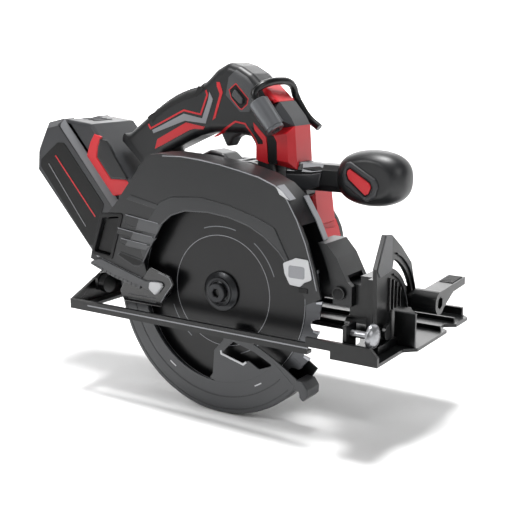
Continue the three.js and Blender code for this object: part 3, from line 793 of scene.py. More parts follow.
def rod_along(name: str, points: Sequence[Sequence[float]], radius: float, look: Look) -> bpy.types.Mesh:
    """A round rod that follows a line of points.

    Args:
        name: the tree's name.
        points: the line's points.
        radius: the rod's radius.
        look: its finish.

    Returns:
        The rod as a plain mesh.
    """
    curve = bpy.data.curves.new(name + "_path", "CURVE")
    curve.dimensions = "3D"
    line = curve.splines.new("BEZIER")
    line.bezier_points.add(len(points) - 1)
    for spot, point in zip(line.bezier_points, points):
        spot.co = to_row(Vector(point))
        spot.handle_left_type = spot.handle_right_type = "AUTO"
    path = bpy.data.objects.new(name + "_path", curve)
    bpy.context.scene.collection.objects.link(path)
    grown = Grown(name)
    route = grown.input("Path", "Object", path)
    thick = grown.input("Radius", "Float", radius * MM)
    spacing = grown.input("Spacing", "Float", 1.2 * MM)
    info = grown.node("GeometryNodeObjectInfo", {"Object": route})
    even = grown.node("GeometryNodeResampleCurve", {"Curve": info.outputs["Geometry"], "Length": spacing},
                      mode="LENGTH")
    circle = grown.node("GeometryNodeCurvePrimitiveCircle", {"Radius": thick, "Resolution": 20})
    swept = grown.node("GeometryNodeCurveToMesh", {
        "Curve": even.outputs[0], "Profile Curve": circle.outputs[0], "Fill Caps": True})
    made = grown.mesh(swept.outputs[0], look)
    bpy.data.objects.remove(path)
    return made


def along_path(name: str, piece: Piece, points: Sequence[Sequence[float]], spacing: float,
               look: Look) -> bpy.types.Mesh:
    """Copies of a piece set across a line of points, evenly spaced.

    Args:
        name: the tree's name.
        piece: what is repeated; it is used up.
        points: the line's points.
        spacing: the distance between copies.
        look: its finish.

    Returns:
        The copies as one plain mesh.
    """
    thing = template(name + "_one", piece)
    curve = bpy.data.curves.new(name + "_path", "CURVE")
    curve.dimensions = "3D"
    line = curve.splines.new("BEZIER")
    line.bezier_points.add(len(points) - 1)
    for spot, point in zip(line.bezier_points, points):
        spot.co = to_row(Vector(point))
        spot.handle_left_type = spot.handle_right_type = "AUTO"
    path = bpy.data.objects.new(name + "_path", curve)
    bpy.context.scene.collection.objects.link(path)
    grown = Grown(name)
    route = grown.input("Path", "Object", path)
    one = grown.input("Piece", "Object", thing)
    gap = grown.input("Spacing", "Float", spacing * MM)
    info = grown.node("GeometryNodeObjectInfo", {"Object": route})
    spots = grown.node("GeometryNodeCurveToPoints", {"Curve": info.outputs["Geometry"], "Length": gap},
                       mode="LENGTH")
    part = grown.node("GeometryNodeObjectInfo", {"Object": one, "As Instance": True})
    copies = grown.node("GeometryNodeInstanceOnPoints", {
        "Points": spots.outputs[0], "Instance": part.outputs["Geometry"],
                                                         "Rotation": spots.outputs["Rotation"]})
    made = grown.mesh(copies.outputs[0], look)
    bpy.data.objects.remove(thing)
    bpy.data.objects.remove(path)
    return made


def refined(name: str, node: str, look: Look, width: float = 0.6, steps: int = 2) -> Piece:
    """A piece that starts as a CAD node's shape and gets rounded edges.

    Args:
        name: the new piece's name.
        node: the CAD node it follows.
        look: its finish.
        width: the rounding's width.
        steps: how many pieces each rounding gets.

    Returns:
        The piece, ready for more detail.
    """
    made = Piece(name).take(frame["nodes"][node].data, look)
    bmesh.ops.remove_doubles(made.bm, verts=made.bm.verts[:], dist=1e-3)
    bmesh.ops.dissolve_limit(made.bm, angle_limit=math.radians(1), verts=made.bm.verts[:],
                             edges=made.bm.edges[:])
    low, high = ([pick(v.co[axis] for v in made.bm.verts) for axis in range(3)] for pick in (min, max))
    sharp = [e for e in made.bm.edges if len(e.link_faces) == 2 and e.calc_face_angle(0) > math.radians(28)]
    bmesh.ops.bevel(made.bm, geom=sharp, offset=width, segments=steps, profile=0.5, affect="EDGES",
                    clamp_overlap=True, material=-1)
    # Rounding only takes material away, so a corner thrown past the node's own box is brought back to it.
    for vert in made.bm.verts:
        vert.co = [min(max(vert.co[axis], low[axis]), high[axis]) for axis in range(3)]
    bmesh.ops.remove_doubles(made.bm, verts=made.bm.verts[:], dist=1e-3)
    return made


# ---------------------------------------------------------------- the blade
@dataclass
class Blade:
    """The toothed blade, its washer and its bolt."""

    teeth: int = 24
    plate: float = 0.65
    paint_radius: float = 78.0
    bolt_radius: float = 8.0
    washer: tuple[Pair, ...] = ((8.6, -0.95), (16.2, -0.95), (16.2, -2.4), (15.6, -3.0), (12.6, -4.2),
                                (11.9, -4.4),
                                (11.5, -5.4), (9.6, -5.6), (9.2, -5.0), (8.6, -5.0), (8.6, -0.95))

    def spot(self, rise: float, turn: float) -> Pair:
        """A point of a tooth from its height past the tips' circle and its turn in degrees."""
        reach, angle = BLADE_RADIUS - 0.4 + rise, math.radians(turn)
        return reach * math.cos(angle), reach * math.sin(angle)

    def tooth(self) -> Piece:
        """One tooth with its share of the bare band.

        Returns:
            The tooth.
        """
        edge = [(-1.6, -3.0), (-0.9, -1.0), (-0.3, 1.4), (-0.3, 2.4), (-5.2, 1.9), (-7.6, 2.9), (-8.6, 4.6),
                (-7.8, 6.4),
                (-5.4, 7.8), (-2.3, 8.7), (-1.3, 10.2), (-1.6, 12.0)]
        inner = [(self.paint_radius - BLADE_RADIUS, turn) for turn in (12.0, 7.0, 2.0, -3.0)]
        return Piece("tooth").slab(Along.Y, [self.spot(*p) for p in (*edge, *inner)], -self.plate, self.plate,
                                   Look.BLADE_RIM, 0.08, 1)

    def tip(self) -> Piece:
        """One hard tip let into a tooth's face."""
        shape = [(0.4, 2.9), (-5.0, 2.2), (-4.8, 1.2), (0.1, 1.3)]
        return Piece("tip").slab(Along.Y, [self.spot(*p) for p in shape], -1.05, 1.05, Look.CARBIDE, 0.15, 1)

    def build(self) -> None:
        """Blade, then washer and bolt."""
        hub = Vector((0, 0, ARBOR.z))
        centre = (0.0, ARBOR.z)
        blade = Piece("blade")
        blade.slab(Along.Y, disc(centre, self.paint_radius + 0.1, 96), -self.plate, self.plate, Look.BLADE,
                   0.05, 1,
                   holes=[disc(centre, 8.0, 32)])
        blade.take(ring_of("blade_teeth", self.tooth(), self.teeth, hub, Look.BLADE_RIM), Look.BLADE_RIM)
        blade.take(ring_of("blade_tips", self.tip(), self.teeth, hub, Look.CARBIDE), Look.CARBIDE)
        for radius in (self.paint_radius - 1.2, 45.0):
            blade.turned(Along.Y, centre,
                         [(radius, -0.6), (radius, -0.73), (radius + 0.5, -0.73), (radius + 0.5, -0.6),
                                           (radius, -0.6)], Look.FACET, 96)
        for start in (20.0, 75.0, 200.0, 290.0):
            blade.turned(Along.Y, centre, [(52, -0.6), (52, -0.73), (52.7, -0.73), (52.7, -0.6), (52, -0.6)],
                         Look.SATIN, 20, start, 34)
        blade.place("spindle", "saw_blade")
        flange = Piece("blade_washer").turned(Along.Y, centre, self.washer, Look.DARK_STEEL, 72)
        flange.place("spindle", "blade_flange_outer")
        socket = arc(centre, 3.5, 0, 300, 5)
        bolt = Piece("blade_screw")
        bolt.slab(Along.Y, disc(centre, self.bolt_radius, 48), -9.6, -5.0, Look.DARK_STEEL, 0.9, 3,
                  holes=[socket])
        # a black disc at the socket's floor, painted shade in the socket
        bolt.slab(Along.Y, disc(centre, 3.9, 32), -6.6, -5.4, Look.BLACK_STEEL, 0.1, 1)
        bolt.place("spindle", "blade_bolt")


# ---------------------------------------------------------------- the guards
@dataclass
class UpperGuard:
    """The fixed casting over the blade with its small fittings."""

    face: float = GUARD_NEAR
    line: tuple[Pair, ...] = ((-49, 135), (-31, 135.5), (-12, 134), (7, 131.5), (26, 128), (42, 124.5),
                              (57, 119),
                              (67, 110), (76, 95), (83.5, 78), (89.5, 59.5), (93.5, 44))
    window: tuple[Pair, ...] = ((-71, 46), (-61, 63), (-52, 79), (-41, 88), (-27, 93), (-5, 94), (15, 92),
                                (34, 87),
                                (48, 80), (61, 70), (72, 57), (79, 46))
    border: tuple[Pair, ...] = ((-74, 62), (-66, 80), (-52, 98), (-40, 103), (-12, 105), (15, 101),
                                (39, 94.5), (57, 87.5),
                                (70.5, 63), (80, 48))

    def build(self) -> None:
        """Casting, then each group of details on its outer face."""
        shell = refined("upper_guard_casting", "upper_guard", Look.CASTING, 1.4, 3)
        self.lines(shell)
        self.louvres(shell)
        self.outlet(shell)
        self.front(shell)
        shell.place("saw_body", "upper_guard")
        self.comb()
        self.lock_block()
        self.badge()

    def lines(self, shell: Piece) -> None:
        """A painted highlight along the top edge, the window's border painted lighter as the shading of its slope,
        a grey band along the window's edge and a painted highlight along the lower edge.

        Args:
            shell: the guard's piece.
        """
        face = self.face
        # painted highlight along the guard's top edge
        shell.slab(Along.Y, ribbon(eased(self.line, 10, closed=False), 0.8), face - 0.25, face + 0.6,
                   Look.FACET, 0.1, 1)
        # the window's border, painted a lighter tone as the shading of its sloped face
        rim = [*self.window, *reversed(self.border)]
        shell.slab(Along.Y, eased(rim, 3), face - 0.8, face + 0.4, Look.CASTING_LIGHT, 0.7, 3)
        shell.slab(Along.Y, ribbon(eased(self.window, 8, closed=False), 1.2), face - 1.1, face, Look.GREY,
                   0.3, 2)
        # painted highlight along the guard's lower edge
        low = ((-117, 43.5), (-98, 38), (-80, 33.5), (-68, 30.5))
        shell.slab(Along.Y, ribbon(low, 0.7), face - 0.25, face + 0.5, Look.FACET, 0.1, 1)

    def louvres(self, shell: Piece) -> None:
        """Stepped vents behind the window, with painted highlights on the steps' edges and painted lighter ends.

        Args:
            shell: the guard's piece.
        """
        face = self.face
        for left, right, drop in (((-88, 84), (-54, 80), 9), ((-97, 72), (-60, 68), 6),
                                  ((-94, 63.5), (-66, 61), 5)):
            step = [left, right, (right[0] - 6, right[1] - drop), (left[0] - 2, left[1] - drop + 1)]
            shell.slab(Along.Y, step, face - 1.2, face + 0.3, Look.CHARCOAL, 0.6, 1)
            # a pale line on each step's upper edge, a painted highlight
            shell.slab(Along.Y, ribbon((left, right), 0.6), face - 1.35, face - 0.8, Look.FACET, 0.1, 1)
            # a grey patch at each step's right end, painted light where the step grows lighter towards that end
            end = [(right[0] - 20, right[1] + 2.2), (right[0] + 4, right[1] - 0.4),
                   (right[0] - 1.5, right[1] - drop),
                   (right[0] - 24, right[1] - drop + 1.4)]
            shell.slab(Along.Y, end, face - 1.4, face + 0.3, Look.GREY, 0.5, 1)
        bar = [(-88, 97), (-83, 101), (-40, 92.5), (-46, 89.6)]
        shell.slab(Along.Y, bar, face - 0.5, face + 0.3, Look.CASTING_LIGHT, 0.4, 2)

    def outlet(self, shell: Piece) -> None:
        """The dust outlet's black frame with a black sheet inside it as painted shade, the oval recess with its
        middle painted black as shade, and the rivet.

        Args:
            shell: the guard's piece.
        """
        face = self.face
        hole = [(-114, 79), (-125, 49), (-107, 47), (-95, 82)]
        frame_line = [(-117, 83), (-128, 46), (-105, 43.5), (-91, 85)]
        shell.slab(Along.Y, eased(frame_line, 3), face - 0.9, face + 0.5, Look.BLACK, 0.5, 2,
                   holes=[eased(hole, 2)])
        # a black sheet set inside the outlet, painted shade in the opening
        shell.slab(Along.Y, inset(list(reversed(hole)), -1.5), face + 2.5, face + 3.5, Look.BLACK, 0.2, 1)
        oval = eased([(-100, 48.5), (-96, 52), (-72, 47.5), (-71, 43.5), (-76, 41), (-82, 41)], 3)
        shell.slab(Along.Y, oval, face - 0.5, face + 0.3, Look.CASTING_LIGHT, 0.4, 2)
        # the oval's middle painted black, as the shade in the recess
        shell.slab(Along.Y, inset(list(reversed(oval)), 1.2), face - 0.7, face - 0.3, Look.BLACK, 0.1, 1)
        shell.turned(Along.Y, (-121, 46),
                     [(0, face - 0.6), (1.6, face - 0.6), (2.2, face), (2.2, face + 1), (0, face + 1)],
                     Look.STEEL, 24)

    def front(self, shell: Piece) -> None:
        """A pale patch at the top front as a painted reflection, and pale plates on the facets down the front edge
        and at the top front, as painted highlights.

        Args:
            shell: the guard's piece.
        """
        face = self.face
        # a pale patch, a painted reflection
        shell.slab(Along.Y, [(58, 118.5), (63, 115.5), (69, 109.5), (61, 113)], face - 0.35, face + 0.4,
                   Look.PALE, 0.2, 1)
        # pale plates on the front facets, painted highlights
        for low, high in (((68.9, 110), (79.9, 92.4)), ((79.9, 92.4), (86, 79.2)), ((86, 79.2), (90, 68.5))):
            shell.facet([(low[0] + 0.5, 9, low[1]), (low[0] + 0.5, 16, low[1]), (high[0] + 0.5, 16, high[1]),
                         (high[0] + 0.5, 9, high[1])], Look.FACET, 0.8)
        shell.facet([(59, -12.2, 119.3), (70, -12.2, 109.6), (71.2, -6, 110), (61, -6, 120)], Look.FACET, 0.8)

    def comb(self) -> None:
        """The pale comb along the guard's lower rear edge."""
        tooth = Piece("comb_tooth").slab(Along.X, box((-1.3, -2.2), (1.3, 2.2)), -1.2, 1.2, Look.GREY, 0.3, 2)
        made = Piece("guard_comb")
        plate = [(-126, 41), (-117, 43.4), (-68, 30.4), (-58, 31.6), (-52.5, 31.4), (-49.8, 28.5),
                 (-53, 23.8), (-58.3, 19.8),
                 (-70, 24.5), (-89, 28.6), (-101, 31), (-113.5, 35), (-126, 39.3)]
        made.slab(Along.Y, eased(plate, 1.2), -14.6, -12.4, Look.GREY, 0.5, 2)
        tab = [(-64.5, 29.5), (-58, 31.3), (-52.8, 31.2), (-50.2, 28.4), (-53.2, 24), (-58.2, 20.2)]
        made.slab(Along.Y, eased(tab, 1.5), -15.2, -14.2, Look.FACET, 0.4, 2)
        path = ((-126, -13.3, 38), (-113.5, -13.3, 33.8), (-101, -13.3, 30), (-89, -13.3, 27.4),
                (-76, -13.3, 24.6))
        made.take(along_path("guard_comb_teeth", tooth, path, 4.6, Look.GREY), Look.GREY)
        made.place("saw_body")

    def lock_block(self) -> None:
        """The glossy curved block under the rear of the casting."""
        shape = [(-72, 33), (-64, 43), (-53, 39.7), (-43, 37), (-39.5, 30.6), (-48.7, 19), (-52, 14.4),
                 (-52.4, 9.6), (-93, 9.6),
                 (-98, 18), (-92, 27)]
        made = Piece("guard_rear_block").slab(Along.Y, eased(shape, 3), -13.0, -10.4, Look.GLOSS_BLACK, 1.0,
                                              4)
        # a pale line along the block's curved edge, a painted highlight
        edge = [(-55, 38.8), (-44, 36), (-40.8, 30.6), (-49.4, 19.4), (-53, 14)]
        made.slab(Along.Y, ribbon(eased(edge, 4, closed=False), 0.5), -13.2, -12.6, Look.FACET, 0.1, 1)
        for level in (12.5, 16.0):
            made.slab(Along.Y, box((-88, level), (-58, level + 0.9)), -13.3, -12.8, Look.GREY, 0.2, 1)
        made.place("saw_body")

    def badge(self) -> None:
        """A plain pale plate with a dark slot."""
        shape = eased([(65, 62), (66.5, 54), (71, 46), (80, 45.5), (83.5, 49), (90, 52), (86.5, 66.5),
                       (76, 67), (72, 65)], 2)
        made = Piece("guard_plate").slab(Along.Y, shape, self.face - 1.5, self.face - 0.2, Look.PALE, 0.5, 2)
        made.slab(Along.Y, inset(eased(box((70, 51.5), (84, 61)), 2), 0.0), self.face - 1.75,
                  self.face - 1.2, Look.FACET, 0.3, 1)
        made.slab(Along.Y, box((78, 41), (86, 44.5)), self.face - 0.6, self.face + 0.2, Look.BLACK, 0.2, 1)
        made.place("saw_body")


@dataclass
class LowerGuard:
    """The swinging guard and its lever."""

    radius: float = 99.8
    inner: float = 73.3
    near: float = -9.5
    far: float = 9.5
    span: Pair = (-192.0, -41.0)
    far_span: Pair = (-192.0, -32.0)
    panel: tuple[Pair, ...] = ((9, 2), (24, 2), (34.5, -7), (51, -14.5), (65, -22.5), (75.5, -29.5),
                               (72, -38),
                               (50, -52), (0, -45.2), (-7, -43), (-3.5, -38.5), (-2, -19), (7, -9))
    eye: tuple[Pair, ...] = ((16.6, -8.8), (5, -20.3), (26, -25.5), (31, -22), (41, -27.3), (54, -22),
                             (36.5, -14))

    def build(self) -> None:
        """Rim, both walls, the front panel with its window, the lip and the marks."""
        centre = (0.0, ARBOR.z)
        made = Piece("lower_guard_body")
        near, far, outer = self.near, self.far, self.radius
        start, sweep = self.span[0], self.span[1] - self.span[0]
        made.turned(Along.Y, centre,
                    [(self.inner, near + 1.5), (self.inner, near + 0.2), (self.inner + 0.3, near),
                     (95.0, near),
                                      (95.5, near + 0.3), (outer - 1.4, near + 0.5), (outer, near + 1.9),
                     (outer, far - 1.2),
                                      (outer - 1.2, far), (95.4, far), (95.4, far - 1.5), (97.8, far - 1.5),
                     (97.8, near + 1.5),
                                      (self.inner, near + 1.5)], Look.GUARD, 96, start, sweep)
        wide = self.far_span[1] - self.far_span[0]
        made.turned(Along.Y, centre,
                    [(22.4, far - 1.5), (22.4, far), (98.5, far), (98.5, far - 1.5), (22.4, far - 1.5)],
                    Look.BLACK_STEEL, 96, self.far_span[0], wide)
        made.turned(Along.Y, centre, [(22.4, 8.2), (26, 8.2), (26, 12.6), (22.4, 12.6), (22.4, 8.2)],
                    Look.BLACK_STEEL, 64)
        made.slab(Along.Y, eased(self.panel, 1.5), near + 0.15, near + 1.45, Look.GUARD, 0.25, 2,
                  holes=[eased(self.eye, 1.5)])
        lip = [(74, -29.5), (81, -30.5), (85, -36), (84.8, -42), (80.5, -46.5), (77.7, -43), (77, -38),
               (72, -39)]
        made.slab(Along.Y, eased(lip, 2), near, far, Look.GUARD, 1.2, 3)
        made.slab(Along.Y, ribbon([(4.6, -18), (5.2, -20.8), (26, -26), (29, -23.6)], 1.7), near - 0.2,
                  near + 0.8, Look.PALE, 0.3, 2)
        for reach, thick in ((84.8, 0.9), (95.2, 0.5)):
            made.turned(Along.Y, centre,
                        [(reach, near + 0.3), (reach, near - 0.25), (reach + thick, near - 0.25),
                                          (reach + thick, near + 0.3), (reach, near + 0.3)],
                        Look.CASTING_LIGHT, 96,
                        start + 4, sweep - 8)
        for turn in (-126, -62):
            made.turned(Along.Y, centre,
                        [(79, near + 0.3), (79, near - 0.2), (80, near - 0.2), (80, near + 0.3),
                         (79, near + 0.3)],
                        Look.PALE, 8, turn, 5)
        made.place("lower_guard", "lower_guard")
        tab = Piece("lower_guard_thumb_lever")
        arm = [(-92, 20), (-92, 34), (-66, 32), (-48, 32), (-47, 22), (-54, 14), (-66, 18)]
        tab.slab(Along.Y, eased(arm, 2), -7.7, -5.6, Look.BLACK_STEEL, 0.4, 2)
        grip = [(-64, 24.5), (-63, 30.5), (-52, 31.2), (-49.5, 28.2), (-53, 24), (-57, 19.5)]
        tab.slab(Along.Y, eased(grip, 2.5), -16, -6.5, Look.PALE, 1.2, 4)
        tab.place("lower_guard", "lower_guard_lever")


# ---------------------------------------------------------------- the handles
@dataclass
class Handle:
    """The main handle with its trigger, button, panels and column."""

    middle: float = HANDLE_MIDDLE
    near: float = HANDLE_NEAR
    rim: float = 7.0
    outline: tuple[Pair, ...] = ((-126, 146), (-115, 154), (-98, 166), (-80, 176), (-63, 183), (-51, 186),
                                 (-40, 194),
                                 (-31, 202), (-19, 208), (-8, 205), (3, 199), (11, 192), (17, 183),
                                 (21.5, 176),
                                 (23.5, 133), (30, 112), (30, 98.4), (-70, 98.4), (-88, 91), (-137, 145))
    opening: tuple[Pair, ...] = ((-86, 131), (-50, 147), (-34, 151), (0, 151), (6, 143), (8, 126),
                                 (0, 122.4), (-66, 122.4),
                                 (-84, 126))
    loops: list[list[Pair]] = field(default_factory=list)

    def skin(self, x: float, z: float) -> float:
        """The near side's level at a place, from its distance to the rounded rim."""
        away = min(self.rim, edge_distance(Vector((x, z)), self.loops))
        return self.near + self.rim - math.sqrt(max(0.0, self.rim ** 2 - (self.rim - away) ** 2))

    def build(self) -> None:
        """Body, grip rubber, panels, trigger, button and column."""
        outer = eased(tuple(reversed(self.outline)), 10, 8)
        hole = eased(self.opening, 8, 6)
        self.loops = [eased(tuple(reversed(self.outline)), 10, 2), eased(self.opening, 8, 2)]
        body = Piece("handle_body")
        body.slab(Along.Y, outer, self.near, 2 * self.middle - self.near, Look.CHARCOAL, self.rim, 8,
                  holes=[hole])
        self.panels(body)
        body.place("saw_body", "handle_shell_right", "handle_shell_left", soften=50)
        self.rubber()
        self.trigger()
        self.column()

    def panels(self, body: Piece) -> None:
        """The coloured panels on both sides.

        Args:
            body: the handle's piece.
        """
        both = {"mirror": self.middle, "lift": 0.35}
        red = ((-102, 154.5), (-99.5, 150.5), (-63, 167.3), (-45, 164.5), (-37.5, 181.5), (-39.5, 185.5),
               (-40.6, 184.6),
               (-39.4, 181.4), (-46, 166), (-63, 168.9), (-98.5, 152.4), (-101, 155.5))
        silver = ((-96, 147.5), (-62, 159.5), (-40.5, 158), (-33, 178), (-36.5, 184), (-37.5, 178),
                  (-44, 162),
                  (-63, 165.3), (-97.5, 150))
        panel = ((-95, 134), (-92, 142.5), (-61, 158), (-41.5, 155.2), (-43.5, 153), (-52, 153.2),
                 (-57, 152), (-82, 140))
        strip = ((-29, 192), (-28.8, 188.5), (-26, 182.5), (-33.5, 161), (-30.5, 163), (-23, 184), (-26, 192))
        hexagon = ((-20, 181.8), (-17, 196), (-10, 202), (1, 196), (8, 188), (9, 176), (2.4, 169),
                   (-6, 168.7))
        wedge = ((-16, 186), (-10, 190.5), (1.5, 179.2), (0.5, 175.2), (-4.4, 171.2), (-6.3, 172),
                 (-14, 179.6))
        body.decal(red, self.skin, Look.RED, **both)
        body.decal(silver, self.skin, Look.FACET, **both)
        body.decal(panel, self.skin, Look.RED, **both)
        body.decal(((-33, 147), (-31, 149.5), (-11, 161.5), (-1, 160), (9.4, 147.2), (9.4, 131), (8.6, 131),
                    (8.2, 146.5), (-1.6, 158.8), (-10.6, 160), (-30, 147.8)), self.skin, Look.RED, **both)
        body.decal(strip, self.skin, Look.RED, **both)
        # grey panel round the lock-off; where it reaches over the nose it stands in for a painted gloss highlight
        body.decal(hexagon, self.skin, Look.GREY, **both)
        # the lock-off's recess as a red lining round a black patch; the black is painted shade in the recess
        body.decal(inset(tuple(reversed(wedge)), -0.8), self.skin, Look.RED, mirror=self.middle, lift=0.5)
        body.decal(wedge, self.skin, Look.BLACK, mirror=self.middle, lift=0.6)

    def rubber(self) -> None:
        """The soft cover over the grip, with fine ribs across it."""
        saddle = [(-104, 158), (-97, 166.8), (-80, 177), (-63, 184), (-51, 187), (-44, 192), (-40, 188),
                  (-46, 176),
                  (-61, 172), (-79, 165), (-96, 157), (-100, 153.5)]
        made = Piece("grip_rubber")
        made.slab(Along.Y, eased(tuple(reversed(saddle)), 3), self.near - 0.4,
                  2 * self.middle - self.near + 0.4,
                  Look.RUBBER, self.rim, 8)
        rib = Piece("grip_rib").slab(Along.Z, eased(box((-11, -0.5), (11, 0.5)), 0.4), -0.7, 0.7,
                                     Look.RUBBER, 0.3, 2)
        path = [(x, self.middle, z + 0.3) for x, z in ((-97, 166.8), (-80, 177), (-63, 184), (-52, 186.8))]
        made.take(along_path("grip_ribs", rib, path, 2.2, Look.RUBBER), Look.RUBBER)
        made.place("saw_body", "handle_grip_cover")

    def trigger(self) -> None:
        """The curved trigger and the button above it."""
        shape = [(-32, 149), (-27, 139.5), (-24.5, 139), (-20, 146), (-12, 149.8), (-3, 148.5), (3, 152),
                 (3, 160), (-28, 160)]
        made = Piece("trigger_blade")
        made.slab(Along.Y, eased(shape, 3, 6), self.middle - 7.6, self.middle + 7.6, Look.GREY, 2.4, 5)
        made.place("trigger", "trigger")
        low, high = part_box("lock_off_button")
        button = Piece("lock_off_wedge")
        wedge = [(-12.8, 182), (-10, 186.8), (-2.3, 179), (-2.3, 175.8), (-5, 175.2)]
        button.slab(Along.Y, eased(wedge, 1.2), low.y / MM - ARBOR.y, high.y / MM - ARBOR.y, Look.GREY, 0.8,
                    3)
        button.place("lock_off", "lock_off_button")

    def column(self) -> None:
        """The red column in front of the opening, with a black strip."""
        near, far = self.near, 2 * self.middle - self.near
        made = Piece("front_column")
        post = [(19.5, 128), (44.4, 125), (44.2, 133), (42.4, 159), (17.5, 155)]
        band = [(17.4, 154.9), (42.4, 158.8), (38.5, 165.5), (28, 177.5), (15, 173)]
        cap = [(15, 172.9), (28, 177.4), (22, 183), (13.5, 190.5), (9, 186)]
        made.slab(Along.Y, post, near + 0.2, far, Look.RED, 5, 1)
        made.slab(Along.Y, band, near + 0.4, far - 0.2, Look.LIGHT_CHARCOAL, 5, 1)
        made.slab(Along.Y, eased(cap, 1), near + 3, far - 3, Look.RED, 3, 2)
        made.slab(Along.Y, [(20.4, 130), (29, 128.6), (28.6, 146), (25.6, 151.2), (20.4, 151.4)],
                  near - 0.3, near + 1.2,
                  Look.BLACK, 0.3, 1)
        made.place("saw_body", "column_cover", soften=25)
        side = Piece("column_side_panels")
        side.slab(Along.Y, [(6.5, 161), (9.4, 147), (9.4, 131), (20.8, 128.5), (19, 149.5)], near - 0.4,
                  near + 1.2,
                  Look.RED, 0.3, 2)
        side.slab(Along.Y, [(4.6, 157.6), (6.5, 156.2), (15.6, 146.6), (16, 144), (11.3, 143.8)],
                  near - 0.7, near - 0.2,
                  Look.BLACK, 0.2, 1)
        side.place("saw_body")


@dataclass
class FrontHandle:
    """The knob in front of the motor, on its short arm."""

    centre: tuple[float, float, float] = (107.0, 52.0, 121.5)
    radii: tuple[float, float, float] = (29.0, 20.6, 21.6)
    flat: float = 35.4

    def build(self) -> None:
        """Arm, knob, seam and the framed red inset."""
        made = Piece("front_handle_body")
        arm = eased([(44, 109), (42, 114), (42, 126), (45, 130), (58, 130), (61, 126), (61, 114),
                     (58, 109)], 1.2)
        made.slab(Along.X, arm, 47.6, 84, Look.CHARCOAL, 1.5, 3)
        root = eased([(43, 102), (41, 108), (41, 125), (44, 130.5), (60, 130.5), (62, 126), (62, 108),
                      (60, 102)], 1.5)
        made.slab(Along.X, root, 32, 51, Look.CHARCOAL, 3, 1)
        made.slab(Along.Y, [(35, 108), (50, 108), (64, 113), (66, 124), (56, 122), (34, 121)], 40.2, 42.4,
                  Look.LIGHT_CHARCOAL, 0.8, 1)
        # a pale plate on the arm's top chamfer, a painted highlight
        made.facet([(35, 40.6, 123.5), (56, 41.6, 123.5), (66, 41.8, 125.2), (66, 44.6, 130.2),
                    (50, 43.6, 130.9), (35, 43.4, 130.9)],
                   Look.CHAMFER, 0.8)
        self.knob(made)
        frame_line = eased([(91, 134), (94.5, 135), (116, 122.8), (118.5, 117.4), (116, 109.4),
                            (108.4, 105), (90, 116.8),
                            (88, 124.4)], 2)
        inner = eased([(91.8, 128.8), (94.4, 130.6), (111.6, 120.4), (113.4, 116.6), (111, 111),
                       (107.6, 109), (92.8, 121),
                       (91, 125.5)], 1.5)
        made.slab(Along.Y, frame_line, 33.6, 36.4, Look.LIGHT_CHARCOAL, 1.2, 3, holes=[inner])
        made.slab(Along.Y, inset(tuple(reversed(inner)), -0.4), 35.0, 36.4, Look.BLACK, 0.2, 1)
        made.slab(Along.Y, inset(tuple(reversed(inner)), 0.9), 33.9, 36.4, Look.RED, 0.5, 2)
        made.place("saw_body", "front_handle", soften=50)

    def knob(self, made: Piece) -> None:
        """A rounded body, flattened on its sides.

        Args:
            made: the front handle's piece.
        """
        x, y, z = self.centre
        rings = []
        for i in range(41):
            turn = math.pi * (i + 0.02) / 40.04
            reach = math.sin(turn) ** 0.66
            ring = []
            for k in range(56):
                angle = math.tau * k / 56
                across, up = math.cos(angle), math.sin(angle)
                level = y + self.radii[1] * reach * math.copysign(abs(across) ** 0.85, across)
                ring.append(Vector((x - self.radii[0] * math.cos(turn), max(self.flat, level),
                                    z + self.radii[2] * reach * math.copysign(abs(up) ** 0.85, up))))
            rings.append(ring)
        made.loft(rings, Look.CHARCOAL)


@dataclass
class Hook:
    """The rafter hook in its barrel."""

    top: tuple[float, float, float] = (15.5, 27.0, 178.0)
    bottom: tuple[float, float, float] = (33.0, 27.0, 156.0)
    rod: float = 3.1
    bend: tuple[tuple[float, float, float], ...] = ((12.5, 27.5, 184), (15, 31, 189), (18.5, 40, 192.3),
                                                    (21, 52, 193.3),
                                                     (22.5, 63, 192), (22.5, 70, 188), (22.2, 74.5, 181),
                                                    (26, 76, 173),
                                                     (34, 76, 163), (44, 76, 155.6))

    def build(self) -> None:
        """Barrel with its grooves and tongue, and the rod."""
        top, bottom = Vector(self.top), Vector(self.bottom)
        axis = bottom - top
        length = axis.length
        turn = Matrix.Translation((top + bottom) / 2) @ Vector((0, 1,
                                                                0)).rotation_difference(axis).to_matrix().to_4x4()
        half = length / 2
        profile = [(3.7, -half), (6.8, -half), (7.5, -half + 0.7), (7.5, half - 3.2), (7.0, half - 2.8),
                   (7.0, half - 2.2),
                   (7.5, half - 1.8), (7.5, half - 0.7), (6.8, half), (3.7, half), (3.7, -half)]
        made = Piece("hook_socket").turned(Along.Y, (0, 0), profile, Look.SATIN, 64, frame_of=turn)
        made.slab(Along.Y, [(20, 182), (15, 178), (30, 159), (35, 163)], 31.6, 34.8, Look.SATIN, 0.5, 2)
        made.place("saw_body", "hook_barrel")
        route = [tuple(top + axis * 0.86), tuple(top + axis * 0.4), tuple(top), *self.bend]
        rod = Piece("hook_rod").take(rod_along("hook_sweep", route, self.rod, Look.BLACK_STEEL),
                                     Look.BLACK_STEEL)
        rod.place("rafter_hook", "rafter_hook", soften=60)


